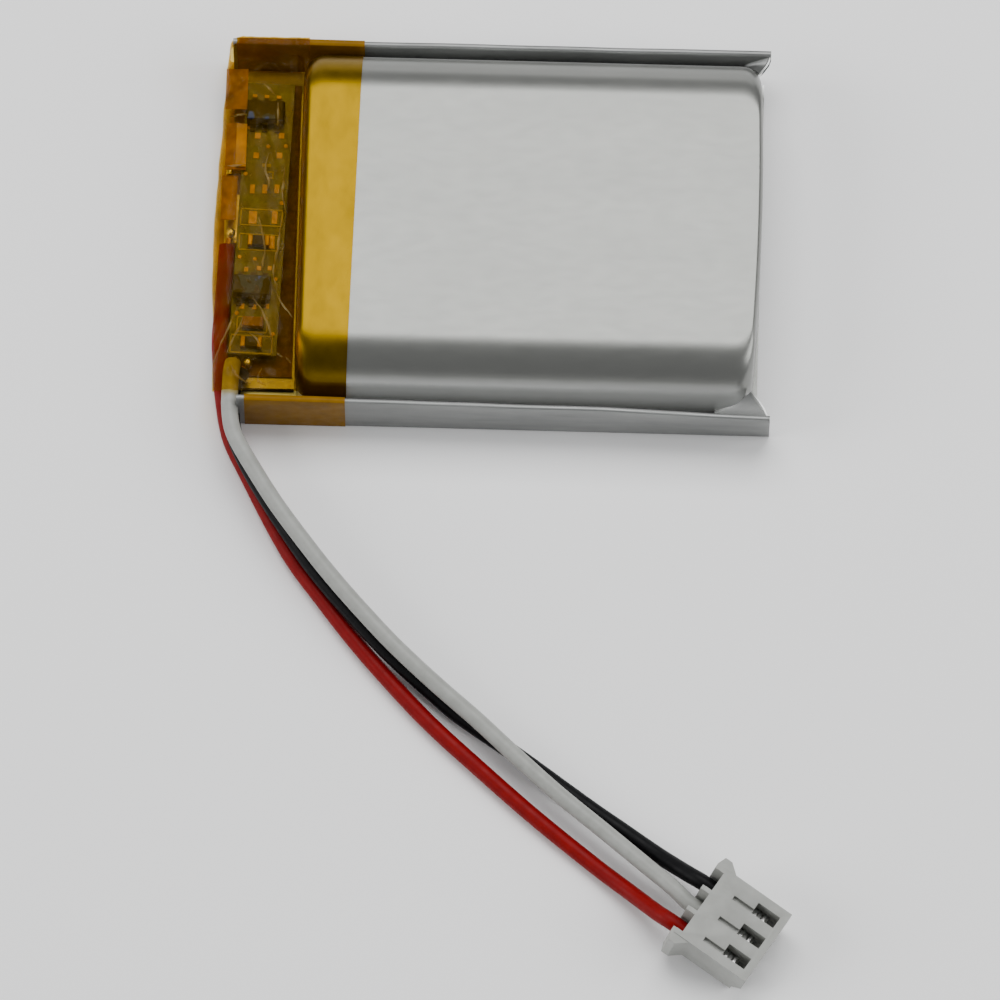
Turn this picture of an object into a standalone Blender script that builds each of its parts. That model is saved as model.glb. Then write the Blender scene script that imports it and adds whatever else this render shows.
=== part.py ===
"""Small lithium-polymer pouch battery pack with a protection board, three leads and a three-way plug.

Metres, +Z up. The pack lies on its back: +X runs along the cell away from the leads, +Y across it, and the
origin is at the middle of the pack's underside.
"""

import math

import bmesh
import bpy
from mathutils import Matrix, Vector

MM = 0.001

# Pouch: one sheet of aluminium laminate, drawn into a cup and closed by a flat back.
LAMINATE = 0.15 * MM
BACK_Z = 0.11 * MM
RIM_Z = 0.46 * MM
CUP_TOP = 7.39 * MM
CUP_X = (-14.7 * MM, 20.85 * MM)
CUP_HALF_WIDTH = 14.3 * MM
FLAT_HALF_WIDTH = 10.0 * MM
SHOULDER_DROP = 4.5 * MM
END_ROUND = 0.7 * MM
PLAN_CORNER = 1.6 * MM
PACK_X = (-21.5 * MM, 21.5 * MM)

# Long edge seals, folded double and turned up beside the cup.
SEAL_Y = (14.55 * MM, 15.15 * MM)
SEAL_HEIGHT = 5.25 * MM
SEAL_FRONT_START = -18.75 * MM
SEAL_REAR_START = -20.4 * MM

# Terrace at the lead end, where the tabs pass through the heat seal.
TERRACE_X = (-20.2 * MM, -14.85 * MM)
TERRACE_HALF_WIDTH = 12.4 * MM
TERRACE_Z = 0.58 * MM
INSULATION_Z = 0.76 * MM
TAB_WIDTH = 4.0 * MM
TAB_THICKNESS = 0.12 * MM
TAB_Z = 0.37 * MM
TAB_RETURN_Z = 1.02 * MM
POSITIVE_TAB_Y = 7.4 * MM
NEGATIVE_TAB_Y = 1.6 * MM

# Wound electrodes: a flat spiral of four strips.
ROLL_X = (-13.9 * MM, 20.0 * MM)
ROLL_Z = 3.80 * MM
ROLL_STRAIGHT = 10.2 * MM
ROLL_CORE = 0.35 * MM
ROLL_PITCH = 0.68 * MM
ROLL_TURNS = 3.25

# Protection board.
BOARD_CENTRE = Vector((-17.77, 1.21, 0.0)) * MM
BOARD_TURN = math.radians(-1.88)
BOARD_SIZE = (3.7 * MM, 22.8 * MM, 0.8 * MM)
BOARD_Z = 1.30 * MM
BOARD_TOP = BOARD_Z + BOARD_SIZE[2]
PAD_GAP = 0.03 * MM

# Tapes.
TAPE = 0.06 * MM
TAPE_GAP = 0.05 * MM
TAPE_X = (-14.6 * MM, -10.35 * MM)
FILM_STATIONS = [(-14.0, 0.95), (-12.4, 0.9), (-10.6, 0.45), (-8.4, 0.0), (9.0, 0.0), (12.0, 0.5), (14.2, 0.9)]

# Leads and plug.
WIRE_RADIUS = 0.64 * MM
WIRE_STEP = 2.6 * WIRE_RADIUS
STRAND_RADIUS = 0.25 * MM
PLUG_REAR = Vector((17.4, -55.15, 4.83)) * MM
PLUG_YAW = math.radians(-34.0)
PLUG_PITCH = math.radians(10.0)
PLUG_PIN_PITCH = 2.0 * MM
PLUG_LENGTH = 6.9 * MM
PLUG_HALF_WIDTH = 3.25 * MM
PLUG_EAR_HALF_WIDTH = 3.95 * MM
PLUG_WIRE_DROP = 2.2 * MM

# Routes of the leads, from the board to the plug, in millimetres.
RED_ROUTE = [
    (-20.38, -1.0, 1.75), (-20.47, -3.8, 1.58), (-20.58, -6.3, 1.48), (-20.68, -8.8, 1.46),
    (-20.55, -10.8, 1.46), (-20.44, -12.4, 1.36), (-20.32, -13.2, 1.14), (-20.18, -14.1, 0.92),
    (-19.92, -15.5, 0.72), (-19.40, -17.2, 0.66), (-18.05, -19.9, 0.66), (-16.05, -23.8, 0.66),
    (-14.3, -26.8, 0.66), (-12.15, -29.7, 0.66), (-9.85, -32.7, 0.66), (-7.4, -35.6, 0.66),
    (-3.8, -39.5, 0.66), (0.3, -43.3, 0.66), (4.7, -47.2, 0.66), (9.4, -51.05, 0.70),
    (12.0, -53.2, 1.20), (14.1, -55.2, 2.30), (15.2, -56.1, 2.78), (15.97, -56.6, 2.66),
    (16.70, -57.09, 2.52),
]
BLACK_ROUTE = [
    (-18.90, -11.4, 1.60), (-19.20, -12.2, 1.80), (-19.52, -13.3, 2.06), (-19.57, -14.7, 2.04),
    (-19.42, -16.2, 1.98), (-18.92, -17.8, 1.98), (-17.62, -20.4, 1.98), (-15.55, -23.75, 1.94),
    (-13.35, -27.0, 1.90), (-11.45, -29.4, 1.84), (-9.95, -31.1, 1.76), (-8.25, -32.95, 1.58),
    (-6.35, -34.8, 1.32), (-3.2, -37.5, 0.88), (-1.1, -39.2, 0.69), (3.3, -42.25, 0.66),
    (8.55, -46.1, 0.66), (11.3, -48.05, 0.75), (14.1, -50.2, 1.30), (16.2, -51.9, 2.30),
    (17.45, -52.8, 2.75), (18.20, -53.29, 2.66), (18.93, -53.78, 2.52),
]
WHITE_ROUTE = [
    (-19.56, -11.3, 3.10), (-19.66, -12.3, 3.38), (-19.70, -13.9, 3.45), (-19.69, -15.1, 3.40),
    (-19.46, -16.7, 3.34), (-18.92, -18.0, 3.31), (-17.75, -20.0, 3.30), (-15.9, -22.9, 3.26),
    (-13.8, -25.75, 3.19), (-11.55, -28.6, 3.10), (-9.0, -31.5, 2.96), (-6.3, -34.3, 2.72),
    (-3.2, -37.1, 2.36), (0.1, -39.9, 2.06), (3.2, -42.8, 2.00), (6.4, -45.7, 2.00),
    (9.9, -48.6, 2.05), (13.4, -51.6, 2.30), (15.3, -53.35, 2.75), (16.4, -54.45, 2.80),
    (17.09, -54.94, 2.66), (17.82, -55.43, 2.52),
]


def clear_scene():
    for obj in list(bpy.data.objects):
        bpy.data.objects.remove(obj, do_unlink=True)


def material(name, colour, roughness=0.5, metallic=0.0, alpha=1.0):
    made = bpy.data.materials.new(name)
    made.use_nodes = True
    shader = made.node_tree.nodes["Principled BSDF"]
    shader.inputs["Base Color"].default_value = (*colour, 1.0)
    shader.inputs["Roughness"].default_value = roughness
    shader.inputs["Metallic"].default_value = metallic
    shader.inputs["Alpha"].default_value = alpha
    made.diffuse_color = (*colour, alpha)
    return made


def add_object(name, mesh_source, finish, parent=None, smooth=35.0):
    """Turns a bmesh into a named object, faces outward, round parts shaded smooth."""
    bmesh.ops.recalc_face_normals(mesh_source, faces=mesh_source.faces)
    mesh = bpy.data.meshes.new(name)
    mesh_source.to_mesh(mesh)
    mesh_source.free()
    mesh.materials.append(finish)
    mesh.shade_smooth()
    mesh.set_sharp_from_angle(angle=math.radians(smooth))
    obj = bpy.data.objects.new(name, mesh)
    bpy.context.scene.collection.objects.link(obj)
    obj.parent = parent
    return obj


def bridge(mesh, first, second):
    for i in range(len(first)):
        j = (i + 1) % len(first)
        mesh.faces.new((first[i], first[j], second[j], second[i]))


def loft(name, rings, finish, parent=None, smooth=35.0):
    """Joins rings of points, each with the same count, and closes the first and the last."""
    mesh = bmesh.new()
    made = [[mesh.verts.new(point) for point in ring] for ring in rings]
    for first, second in zip(made, made[1:]):
        bridge(mesh, first, second)
    mesh.faces.new(made[0])
    mesh.faces.new(made[-1])
    return add_object(name, mesh, finish, parent, smooth)


def block(name, low, high, finish, parent=None, bevel=0.0):
    mesh = bmesh.new()
    bmesh.ops.create_cube(mesh, size=1.0)
    for vert in mesh.verts:
        vert.co = [low[i] if vert.co[i] < 0.0 else high[i] for i in range(3)]
    obj = add_object(name, mesh, finish, parent)
    if bevel:
        rounding = obj.modifiers.new("edge_rounding", "BEVEL")
        rounding.width = bevel
        rounding.segments = 2
    return obj


def helper(obj):
    obj.hide_render = True
    obj.display_type = "WIRE"
    return obj


def boolean(obj, other, operation):
    modifier = obj.modifiers.new(other.name, "BOOLEAN")
    modifier.operation = operation
    modifier.object = helper(other)


def rounded_ring(low_x, high_x, half_y, corner, z, steps=5):
    """A rectangle with round corners at height z, counted anticlockwise from above."""
    corner = min(corner, half_y, (high_x - low_x) / 2)
    centres = [
        (high_x - corner, half_y - corner, 0.0),
        (low_x + corner, half_y - corner, 90.0),
        (low_x + corner, -half_y + corner, 180.0),
        (high_x - corner, -half_y + corner, 270.0),
    ]
    ring = []
    for x, y, start in centres:
        for step in range(steps + 1):
            angle = math.radians(start + 90.0 * step / steps)
            ring.append((x + corner * math.cos(angle), y + corner * math.sin(angle), z))
    return ring


def cup_half_width(z):
    """The shoulder is a quarter ellipse between the side wall and the flat top."""
    share = min(max((z - (CUP_TOP - SHOULDER_DROP)) / SHOULDER_DROP, 0.0), 1.0)
    return FLAT_HALF_WIDTH + (CUP_HALF_WIDTH - FLAT_HALF_WIDTH) * math.sqrt(1.0 - share * share)


def cup_ring(z, inset=0.0):
    """One level of the cup, moved in by inset, or down by it near the flat top."""
    share = max(0.0, (z - (CUP_TOP - END_ROUND)) / END_ROUND)
    end = END_ROUND * (1.0 - math.sqrt(max(0.0, 1.0 - share * share)))
    half = cup_half_width(z) - inset
    low_x = CUP_X[0] + end + inset
    high_x = CUP_X[1] - end - inset
    return rounded_ring(low_x, high_x, half, PLAN_CORNER, z)


def cup_levels():
    straight = [RIM_Z, CUP_TOP - SHOULDER_DROP]
    arc = [math.sin(math.radians(angle)) for angle in (15, 30, 42, 53, 62, 70, 77, 83, 90)]
    return straight + [CUP_TOP - SHOULDER_DROP * (1.0 - height) for height in arc]


def make_cup(finish):
    outer = [cup_ring(z) for z in cup_levels()]
    inner = []
    for z in cup_levels():
        lowered = RIM_Z + (z - RIM_Z) * (CUP_TOP - LAMINATE - RIM_Z) / (CUP_TOP - RIM_Z)
        inner.append([(x, y, lowered) for x, y, _ in cup_ring(z, LAMINATE)])
    loft("pouch_cup", list(reversed(inner)) + outer, finish)


def make_side_seal(name, side, start, finish):
    """The hem: two layers folded over at the top, with a foot that runs in under the cup's edge."""
    inner, outer = SEAL_Y
    slot = (outer - inner) * 0.3
    top = SEAL_HEIGHT
    profile = [
        (inner - 0.12 * MM, BACK_Z), (outer - 0.1 * MM, BACK_Z), (outer, BACK_Z + 0.1 * MM),
        (outer, top - 0.15 * MM), (outer - 0.12 * MM, top), (inner + 0.12 * MM, top),
        (inner, top - 0.15 * MM), (inner, 0.9 * MM), (inner + slot, 0.8 * MM),
        (inner + slot, RIM_Z), (inner - 0.12 * MM, RIM_Z - 0.1 * MM),
    ]
    rings = [[(x, side * y, z) for y, z in profile] for x in (start, PACK_X[1])]
    loft(name, rings, finish)


def stadium_point(angle, radius):
    """A point at this angle, in turns, round a flat core: half circles joined by straight runs."""
    turn = angle % 1.0
    centre = ROLL_STRAIGHT if turn < 0.25 or turn >= 0.75 else -ROLL_STRAIGHT
    heading = 2.0 * math.pi * angle
    return centre + radius * math.cos(heading), ROLL_Z + radius * math.sin(heading)


def wound_strip(name, offset, thickness, inset, finish):
    """One strip of the roll, from its first turn to its last, offset from the core by a part of a pitch."""
    angles = []
    for quarter in range(int(ROLL_TURNS * 4)):
        angles += [quarter / 4 + share for share in (0.0001, 0.0625, 0.125, 0.1875, 0.2499)]
    inner = []
    outer = []
    for angle in angles:
        radius = ROLL_CORE + offset + ROLL_PITCH * angle
        inner.append(stadium_point(angle, radius))
        outer.append(stadium_point(angle, radius + thickness))
    outline = inner + list(reversed(outer))
    mesh = bmesh.new()
    ends = []
    for x in (ROLL_X[0] + inset, ROLL_X[1] - inset):
        ends.append([mesh.verts.new((x, y, z)) for y, z in outline])
    bridge(mesh, ends[0], ends[1])
    count = len(outline)
    for ring in ends:
        for i in range(count // 2 - 1):
            mesh.faces.new((ring[i], ring[i + 1], ring[count - 2 - i], ring[count - 1 - i]))
    add_object(name, mesh, finish)


def make_roll(finishes):
    separator = 0.08 * MM
    anode = 0.17 * MM
    cathode = 0.15 * MM
    wound_strip("inner_separator", 0.0, separator, 0.0, finishes["separator"])
    wound_strip("anode_foil", 0.185 * ROLL_PITCH, anode, 0.5 * MM, finishes["anode"])
    wound_strip("outer_separator", 0.5 * ROLL_PITCH, separator, 0.0, finishes["separator"])
    wound_strip("cathode_foil", 0.685 * ROLL_PITCH, cathode, 0.8 * MM, finishes["cathode"])
    top = ROLL_Z + ROLL_CORE + ROLL_PITCH * (ROLL_TURNS + 0.685) + cathode + TAPE_GAP
    low = (-12.0 * MM, -6.0 * MM, top)
    block("roll_closing_tape", low, (18.0 * MM, 2.0 * MM, top + TAPE), finishes["roll_tape"])


def strip_profile(path, thickness):
    """The outline of a bent strip seen edge on: its centre line moved half a thickness to each side."""
    left = []
    right = []
    for i, point in enumerate(path):
        before = path[max(i - 1, 0)]
        after = path[min(i + 1, len(path) - 1)]
        along = [Vector(b) - Vector(a) for a, b in ((before, point), (point, after)) if a != b]
        normals = [Vector((-run.y, run.x)).normalized() for run in along]
        middle = sum(normals, Vector((0.0, 0.0))).normalized()
        reach = thickness / 2 / max(middle.dot(normals[0]), 0.3)
        left.append(Vector(point) + middle * reach)
        right.append(Vector(point) - middle * reach)
    return left, right


def bent_sheet(name, path, thickness, low_y, high_y, finish, parent=None):
    """A strip or film bent along a path in the XZ plane and as wide as from low_y to high_y."""
    left, right = strip_profile(path, thickness)
    mesh = bmesh.new()
    rows = []
    for side in (left, right):
        for y in (low_y, high_y):
            rows.append([mesh.verts.new((point.x, y, point.y)) for point in side])
    top_low, top_high, base_low, base_high = rows
    for first, second in ((top_low, top_high), (top_high, base_high), (base_high, base_low), (base_low, top_low)):
        for i in range(len(first) - 1):
            mesh.faces.new((first[i], first[i + 1], second[i + 1], second[i]))
    for i in (0, -1):
        mesh.faces.new((top_low[i], top_high[i], base_high[i], base_low[i]))
    return add_object(name, mesh, finish, parent)


def arc(centre, radius, first, last, steps):
    points = []
    for step in range(steps + 1):
        angle = math.radians(first + (last - first) * step / steps)
        points.append((centre[0] + radius * math.cos(angle), centre[1] + radius * math.sin(angle)))
    return points


def make_tab(prefix, y, finishes):
    """The tab rises from the roll, leaves under the rim, and turns back over the terrace to the board."""
    bend = (TAB_RETURN_Z - TAB_Z) / 2
    turn = arc((TERRACE_X[0] - 0.1 * MM, TAB_Z + bend), bend, 270.0, 90.0, 8)
    path = [(-14.25 * MM, 3.4 * MM), (-14.25 * MM, TAB_Z)] + turn + [(-18.4 * MM, TAB_RETURN_Z)]
    half = TAB_WIDTH / 2
    bent_sheet(prefix + "_tab", path, TAB_THICKNESS, y - half, y + half, finishes[prefix + "_tab"])
    low = (-17.6 * MM, y - half - 0.6 * MM, 0.46 * MM)
    block(prefix + "_tab_sealant", low, (-14.9 * MM, y + half + 0.6 * MM, 0.55 * MM), finishes["sealant"])
    low = (-19.3 * MM, y - half - 0.2 * MM, 1.11 * MM)
    block(prefix + "_weld_plate", low, (-16.6 * MM, y + half + 0.2 * MM, 1.26 * MM), finishes["nickel"])


def make_terrace(finishes):
    low = (TERRACE_X[0], -TERRACE_HALF_WIDTH, TERRACE_Z)
    high = (TERRACE_X[1], TERRACE_HALF_WIDTH, TERRACE_Z + LAMINATE)
    block("terrace_seal", low, high, finishes["laminate"])
    low = (TERRACE_X[0] + 0.1 * MM, -11.5 * MM, INSULATION_Z)
    high = (TERRACE_X[1] - 0.2 * MM, 13.0 * MM, INSULATION_Z + LAMINATE)
    block("insulation_paper", low, high, finishes["paper"])


def make_chip_package(name, u, v, finishes, board):
    """A small six-lead package: a moulded body with three gull-wing leads on each long side."""
    body_low = (u - 1.45 * MM, v - 0.8 * MM, BOARD_TOP + 0.12 * MM)
    body_high = (u + 1.45 * MM, v + 0.8 * MM, BOARD_TOP + 1.15 * MM)
    body = block(name, body_low, body_high, finishes["chip_body"], board, bevel=0.08 * MM)
    foot = BOARD_TOP + PAD_GAP + 0.09 * MM
    for side in (-1, 1):
        for index in (-1, 0, 1):
            x = u + index * 0.95 * MM
            path = [
                (side * 0.6 * MM, BOARD_TOP + 0.62 * MM), (side * 1.0 * MM, BOARD_TOP + 0.62 * MM),
                (side * 1.12 * MM, foot), (side * 1.42 * MM, foot),
            ]
            lead = bent_sheet(f"{name}_lead", path, 0.12 * MM, -0.2 * MM, 0.2 * MM, finishes["tin"], board)
            lead.matrix_local = Matrix.Translation((x, v, 0.0)) @ Matrix.Rotation(math.radians(90.0), 4, "Z")
            boolean(body, lead, "UNION")


def make_small_chip(name, u, v, length, width, height, finish, board):
    base = BOARD_TOP + PAD_GAP
    low = (u - length / 2, v - width / 2, base)
    block(name, low, (u + length / 2, v + width / 2, base + height), finish, board, bevel=0.05 * MM)


def make_board(finishes):
    board = bpy.data.objects.new("board_frame", None)
    bpy.context.scene.collection.objects.link(board)
    board.location = BOARD_CENTRE
    board.rotation_euler = (0.0, 0.0, BOARD_TURN)
    half_x, half_y = BOARD_SIZE[0] / 2, BOARD_SIZE[1] / 2
    block("circuit_board", (-half_x, -half_y, BOARD_Z), (half_x, half_y, BOARD_TOP), finishes["board"], board)
    make_chip_package("switch_mosfets", -0.25 * MM, 8.7 * MM, finishes, board)
    make_chip_package("protection_ic", -0.35 * MM, -6.0 * MM, finishes, board)
    make_small_chip("thermistor", -0.1 * MM, -2.0 * MM, 1.6 * MM, 0.8 * MM, 0.45 * MM, finishes["chip_body"], board)
    make_small_chip(
        "filter_capacitor", -0.1 * MM, -8.85 * MM, 1.6 * MM, 0.8 * MM, 0.6 * MM, finishes["ceramic_chip"], board
    )
    make_small_chip(
        "supply_resistor", -0.12 * MM, -10.5 * MM, 1.6 * MM, 0.8 * MM, 0.45 * MM, finishes["chip_body"], board
    )


def section_offset(points, distance):
    """Moves a closed anticlockwise outline in the YZ plane outward by a distance."""
    moved = []
    for i, point in enumerate(points):
        before = Vector(points[i - 1])
        after = Vector(points[(i + 1) % len(points)])
        here = Vector(point)
        first = Vector(((here - before).y, -(here - before).x)).normalized()
        second = Vector(((after - here).y, -(after - here).x)).normalized()
        middle = (first + second).normalized()
        moved.append(here + middle * distance / max(middle.dot(first), 0.5))
    return moved


def tape_section():
    """The inside of the tape band: over the shoulder, down into the gap, over the folded seal and underneath."""
    top = CUP_TOP + TAPE_GAP
    half = []
    for angle in (90, 78, 66, 54, 42, 32):
        rise = math.sin(math.radians(angle))
        reach = math.cos(math.radians(angle))
        width = (CUP_HALF_WIDTH - FLAT_HALF_WIDTH + TAPE_GAP) * reach
        half.append((FLAT_HALF_WIDTH + width, top - (SHOULDER_DROP + TAPE_GAP) * (1.0 - rise)))
    outer = SEAL_Y[1] + TAPE_GAP
    lip = SEAL_HEIGHT + TAPE_GAP
    half += [(SEAL_Y[0] + 0.05 * MM, lip), (outer - 0.12 * MM, lip), (outer, lip - 0.15 * MM)]
    half += [(outer, TAPE + 0.1 * MM), (outer - 0.1 * MM, TAPE)]
    right = list(reversed(half))
    left = [(-y, z) for y, z in half]
    return right + left


def make_end_tape(finish):
    inner = tape_section()
    outer = section_offset(inner, TAPE)
    rings = []
    for points, x in ((inner, TAPE_X[0]), (outer, TAPE_X[0]), (outer, TAPE_X[1]), (inner, TAPE_X[1])):
        rings.append([(x, point[0], point[1]) for point in points])
    mesh = bmesh.new()
    made = [[mesh.verts.new(point) for point in ring] for ring in rings]
    for i in range(4):
        bridge(mesh, made[i], made[(i + 1) % 4])
    add_object("end_tape", mesh, finish)


def film_path(lift):
    """The film's section: up the cell's end wall, over the board, round the terrace and back underneath."""
    left = PACK_X[0] + TAPE / 2
    base = TAPE / 2
    path = [(-14.83 * MM, 6.6 * MM), (-14.9 * MM, 5.4 * MM), (-15.2 * MM, 3.9 * MM + lift)]
    path += [(-15.9 * MM, 3.42 * MM + lift), (-17.7 * MM, 3.36 * MM + lift), (-19.3 * MM, 3.38 * MM + lift)]
    path += [(-20.3 * MM, 3.42 * MM + lift), (-20.95 * MM, 3.1 * MM + lift * 0.9)]
    path += [(-21.35 * MM, 2.5 * MM + lift * 0.5), (left, 1.7 * MM), (left, 0.5 * MM)]
    return path + [(left + 0.15 * MM, 0.15 * MM), (left + 0.5 * MM, base), (-15.0 * MM, base)]


def make_cover_film(finish):
    """Clear amber film, higher at both ends, where it passes over the leads and the rear seal."""
    rings = []
    for y, lift in FILM_STATIONS:
        left, right = strip_profile(film_path(lift * MM), TAPE)
        rings.append([(point.x, y * MM, point.y) for point in left + list(reversed(right))])
    loft("board_cover_film", rings, finish)


def smooth_route(points, step):
    """Evenly spaced points along a Catmull-Rom curve through the route's own points."""
    nodes = [Vector(point) * MM for point in points]
    padded = [nodes[0] * 2 - nodes[1]] + nodes + [nodes[-1] * 2 - nodes[-2]]
    fine = []
    for a, b, c, d in zip(padded, padded[1:], padded[2:], padded[3:]):
        for part in range(16):
            t = part / 16
            cubic = (b * 3 - c * 3 + d - a) * t**3
            square = (a * 2 - b * 5 + c * 4 - d) * t**2
            fine.append((b * 2 + (c - a) * t + square + cubic) / 2)
    fine.append(nodes[-1])
    lengths = [0.0]
    for first, second in zip(fine, fine[1:]):
        lengths.append(lengths[-1] + (second - first).length)
    count = max(2, round(lengths[-1] / step))
    result = []
    index = 0
    for i in range(count + 1):
        target = lengths[-1] * i / count
        while index < len(fine) - 2 and lengths[index + 1] < target:
            index += 1
        span = lengths[index + 1] - lengths[index]
        result.append(fine[index].lerp(fine[index + 1], min(1.0, (target - lengths[index]) / span)))
    return result


def make_tube(name, points, radius, finish):
    curve = bpy.data.curves.new(name, "CURVE")
    curve.dimensions = "3D"
    curve.bevel_depth = radius
    curve.bevel_resolution = 2
    curve.use_fill_caps = True
    spline = curve.splines.new("POLY")
    spline.points.add(len(points) - 1)
    for slot, point in zip(spline.points, points):
        slot.co = (*point, 1.0)
    spline.use_smooth = True
    curve.materials.append(finish)
    obj = bpy.data.objects.new(name, curve)
    bpy.context.scene.collection.objects.link(obj)
    return obj


def solder_joint(name, centre, finish):
    mesh = bmesh.new()
    bmesh.ops.create_uvsphere(mesh, u_segments=12, v_segments=8, radius=1.0)
    bmesh.ops.scale(mesh, vec=(0.36 * MM, 0.42 * MM, 0.38 * MM), verts=mesh.verts)
    bmesh.ops.translate(mesh, vec=centre, verts=mesh.verts)
    add_object(name, mesh, finish, smooth=60.0)


def make_lead(colour, route, joint, finishes):
    """One lead: the insulated wire, its bare strands, and the solder joint at the board."""
    points = smooth_route(route, WIRE_STEP)
    make_tube(colour + "_wire", points, WIRE_RADIUS, finishes[colour])
    centre = Vector(joint) * MM
    towards = (centre - points[0]).normalized()
    start = points[0] + towards * 0.12 * MM
    end = centre - towards * 0.52 * MM
    strands = [start.lerp(end, share) for share in (0.0, 0.35, 0.7, 1.0)]
    make_tube(colour + "_strands", strands, STRAND_RADIUS, finishes["copper"])
    solder_joint(colour + "_solder_joint", centre, finishes["tin"])


def plug_frame():
    frame = bpy.data.objects.new("plug_frame", None)
    bpy.context.scene.collection.objects.link(frame)
    frame.matrix_world = (
        Matrix.Translation(PLUG_REAR)
        @ Matrix.Rotation(PLUG_YAW, 4, "Z")
        @ Matrix.Rotation(PLUG_PITCH, 4, "Y")
    )
    return frame


def make_housing(finishes, frame):
    """The plug's body lies along the frame's +X, with its windows up and a thicker flange at the wire end."""
    half = PLUG_HALF_WIDTH
    finish = finishes["connector"]
    body = block("connector_housing", (0.0, -half, -3.72 * MM), (5.9 * MM, half, 0.0), finish, frame)
    nose_low = (5.7 * MM, -half, -3.45 * MM)
    nose = block("housing_nose", nose_low, (PLUG_LENGTH, half, 0.0), finish, frame)
    boolean(body, nose, "UNION")
    ear = PLUG_EAR_HALF_WIDTH
    outline = [(0.0, -ear), (0.6 * MM, -ear), (1.5 * MM, -half + 0.05 * MM), (1.5 * MM, half - 0.05 * MM)]
    outline += [(0.6 * MM, ear), (0.0, ear), (-0.25 * MM, half), (-0.25 * MM, -half)]
    flange = loft(
        "housing_flange", [[(x, y, z) for x, y in outline] for z in (-4.5 * MM, -0.06 * MM)], finish, frame
    )
    boolean(body, flange, "UNION")
    for index in (-1, 0, 1):
        y = index * PLUG_PIN_PITCH
        cuts = [
            ("cavity", (-1.0 * MM, y - 0.78 * MM, -3.0 * MM), (6.1 * MM, y + 0.78 * MM, -1.4 * MM)),
            ("pin_hole", (5.5 * MM, y - 0.4 * MM, -2.6 * MM), (7.5 * MM, y + 0.4 * MM, -1.8 * MM)),
            ("window", (4.0 * MM, y - 0.5 * MM, -2.0 * MM), (6.0 * MM, y + 0.5 * MM, 1.0 * MM)),
            ("groove", (2.2 * MM, y - 0.5 * MM, -0.35 * MM), (4.3 * MM, y - 0.22 * MM, 1.0 * MM)),
        ]
        for kind, low, high in cuts:
            boolean(body, block(f"{kind}_{index + 1}", low, high, finish, frame), "DIFFERENCE")


def make_contact(name, index, finishes, frame):
    """A crimp contact: barrel round the strands at the rear, a waist, and the receptacle box in front."""
    y = index * PLUG_PIN_PITCH
    stations = [(1.35, 0.42), (2.5, 0.42), (2.75, 0.3), (3.2, 0.3), (3.4, 0.55), (5.7, 0.55)]
    rings = []
    for s, half in stations:
        ring = rounded_ring(-half * MM, half * MM, half * MM, 0.2 * MM, 0.0, steps=2)
        rings.append([(s * MM, y + a, -PLUG_WIRE_DROP + b) for a, b, _ in ring])
    loft(name, rings, finishes["tin"], frame)


def make_finishes():
    return {
        "laminate": material("pouch_laminate", (0.55, 0.56, 0.55), 0.38, 0.7),
        "anode": material("anode_coating", (0.06, 0.06, 0.065), 0.7),
        "cathode": material("cathode_coating", (0.12, 0.12, 0.13), 0.6),
        "separator": material("separator", (0.85, 0.85, 0.84), 0.5),
        "roll_tape": material("roll_tape", (0.05, 0.25, 0.12), 0.4),
        "positive_tab": material("aluminium_tab", (0.75, 0.75, 0.75), 0.35, 1.0),
        "negative_tab": material("nickel_tab", (0.62, 0.60, 0.55), 0.35, 1.0),
        "sealant": material("tab_sealant", (0.25, 0.22, 0.16), 0.5),
        "nickel": material("nickel_plate", (0.66, 0.63, 0.58), 0.35, 1.0),
        "paper": material("insulation_paper", (0.62, 0.48, 0.28), 0.8),
        "board": material("circuit_board", (0.03, 0.10, 0.03), 0.45),
        "chip_body": material("chip_body", (0.02, 0.02, 0.022), 0.5),
        "ceramic_chip": material("ceramic_chip", (0.28, 0.16, 0.09), 0.5),
        "tin": material("tinned_metal", (0.70, 0.70, 0.69), 0.3, 1.0),
        "copper": material("copper_strands", (0.72, 0.36, 0.20), 0.35, 1.0),
        "end_tape": material("end_tape", (0.62, 0.34, 0.01), 0.35),
        "film": material("cover_film", (0.45, 0.20, 0.02), 0.25, 0.0, 0.45),
        "red": material("red_insulation", (0.35, 0.015, 0.015), 0.4),
        "black": material("black_insulation", (0.012, 0.012, 0.013), 0.4),
        "white": material("white_insulation", (0.62, 0.62, 0.60), 0.4),
        "connector": material("connector_nylon", (0.68, 0.68, 0.66), 0.45),
    }


def make_pack():
    clear_scene()
    finishes = make_finishes()
    make_cup(finishes["laminate"])
    back_low = (TERRACE_X[0], -14.35 * MM, BACK_Z)
    block("pouch_back", back_low, (CUP_X[1], 14.35 * MM, BACK_Z + LAMINATE), finishes["laminate"])
    make_side_seal("side_seal_front", -1, SEAL_FRONT_START, finishes["laminate"])
    make_side_seal("side_seal_rear", 1, SEAL_REAR_START, finishes["laminate"])
    make_terrace(finishes)
    make_roll(finishes)
    make_tab("positive", POSITIVE_TAB_Y, finishes)
    make_tab("negative", NEGATIVE_TAB_Y, finishes)
    make_board(finishes)
    make_end_tape(finishes["end_tape"])
    make_cover_film(finishes["film"])
    make_lead("red", RED_ROUTE, (-20.14, 0.1, 1.75), finishes)
    make_lead("black", BLACK_ROUTE, (-18.45, -10.68, 1.62), finishes)
    make_lead("white", WHITE_ROUTE, (-19.40, -10.66, 1.80), finishes)
    frame = plug_frame()
    make_housing(finishes, frame)
    for name, index in (("red_contact", -1), ("white_contact", 0), ("black_contact", 1)):
        make_contact(name, index, finishes, frame)


make_pack()
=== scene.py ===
"""Looks of the small lithium-polymer pouch battery pack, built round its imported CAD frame.

The row frame: +X along the cell away from the leads, +Y across it, +Z up. Lengths are in metres, apart from
the lists and paths whose comment or docstring says millimetres.
"""

import math

import bmesh
import bpy
from mathutils import Matrix, Vector, noise


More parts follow.
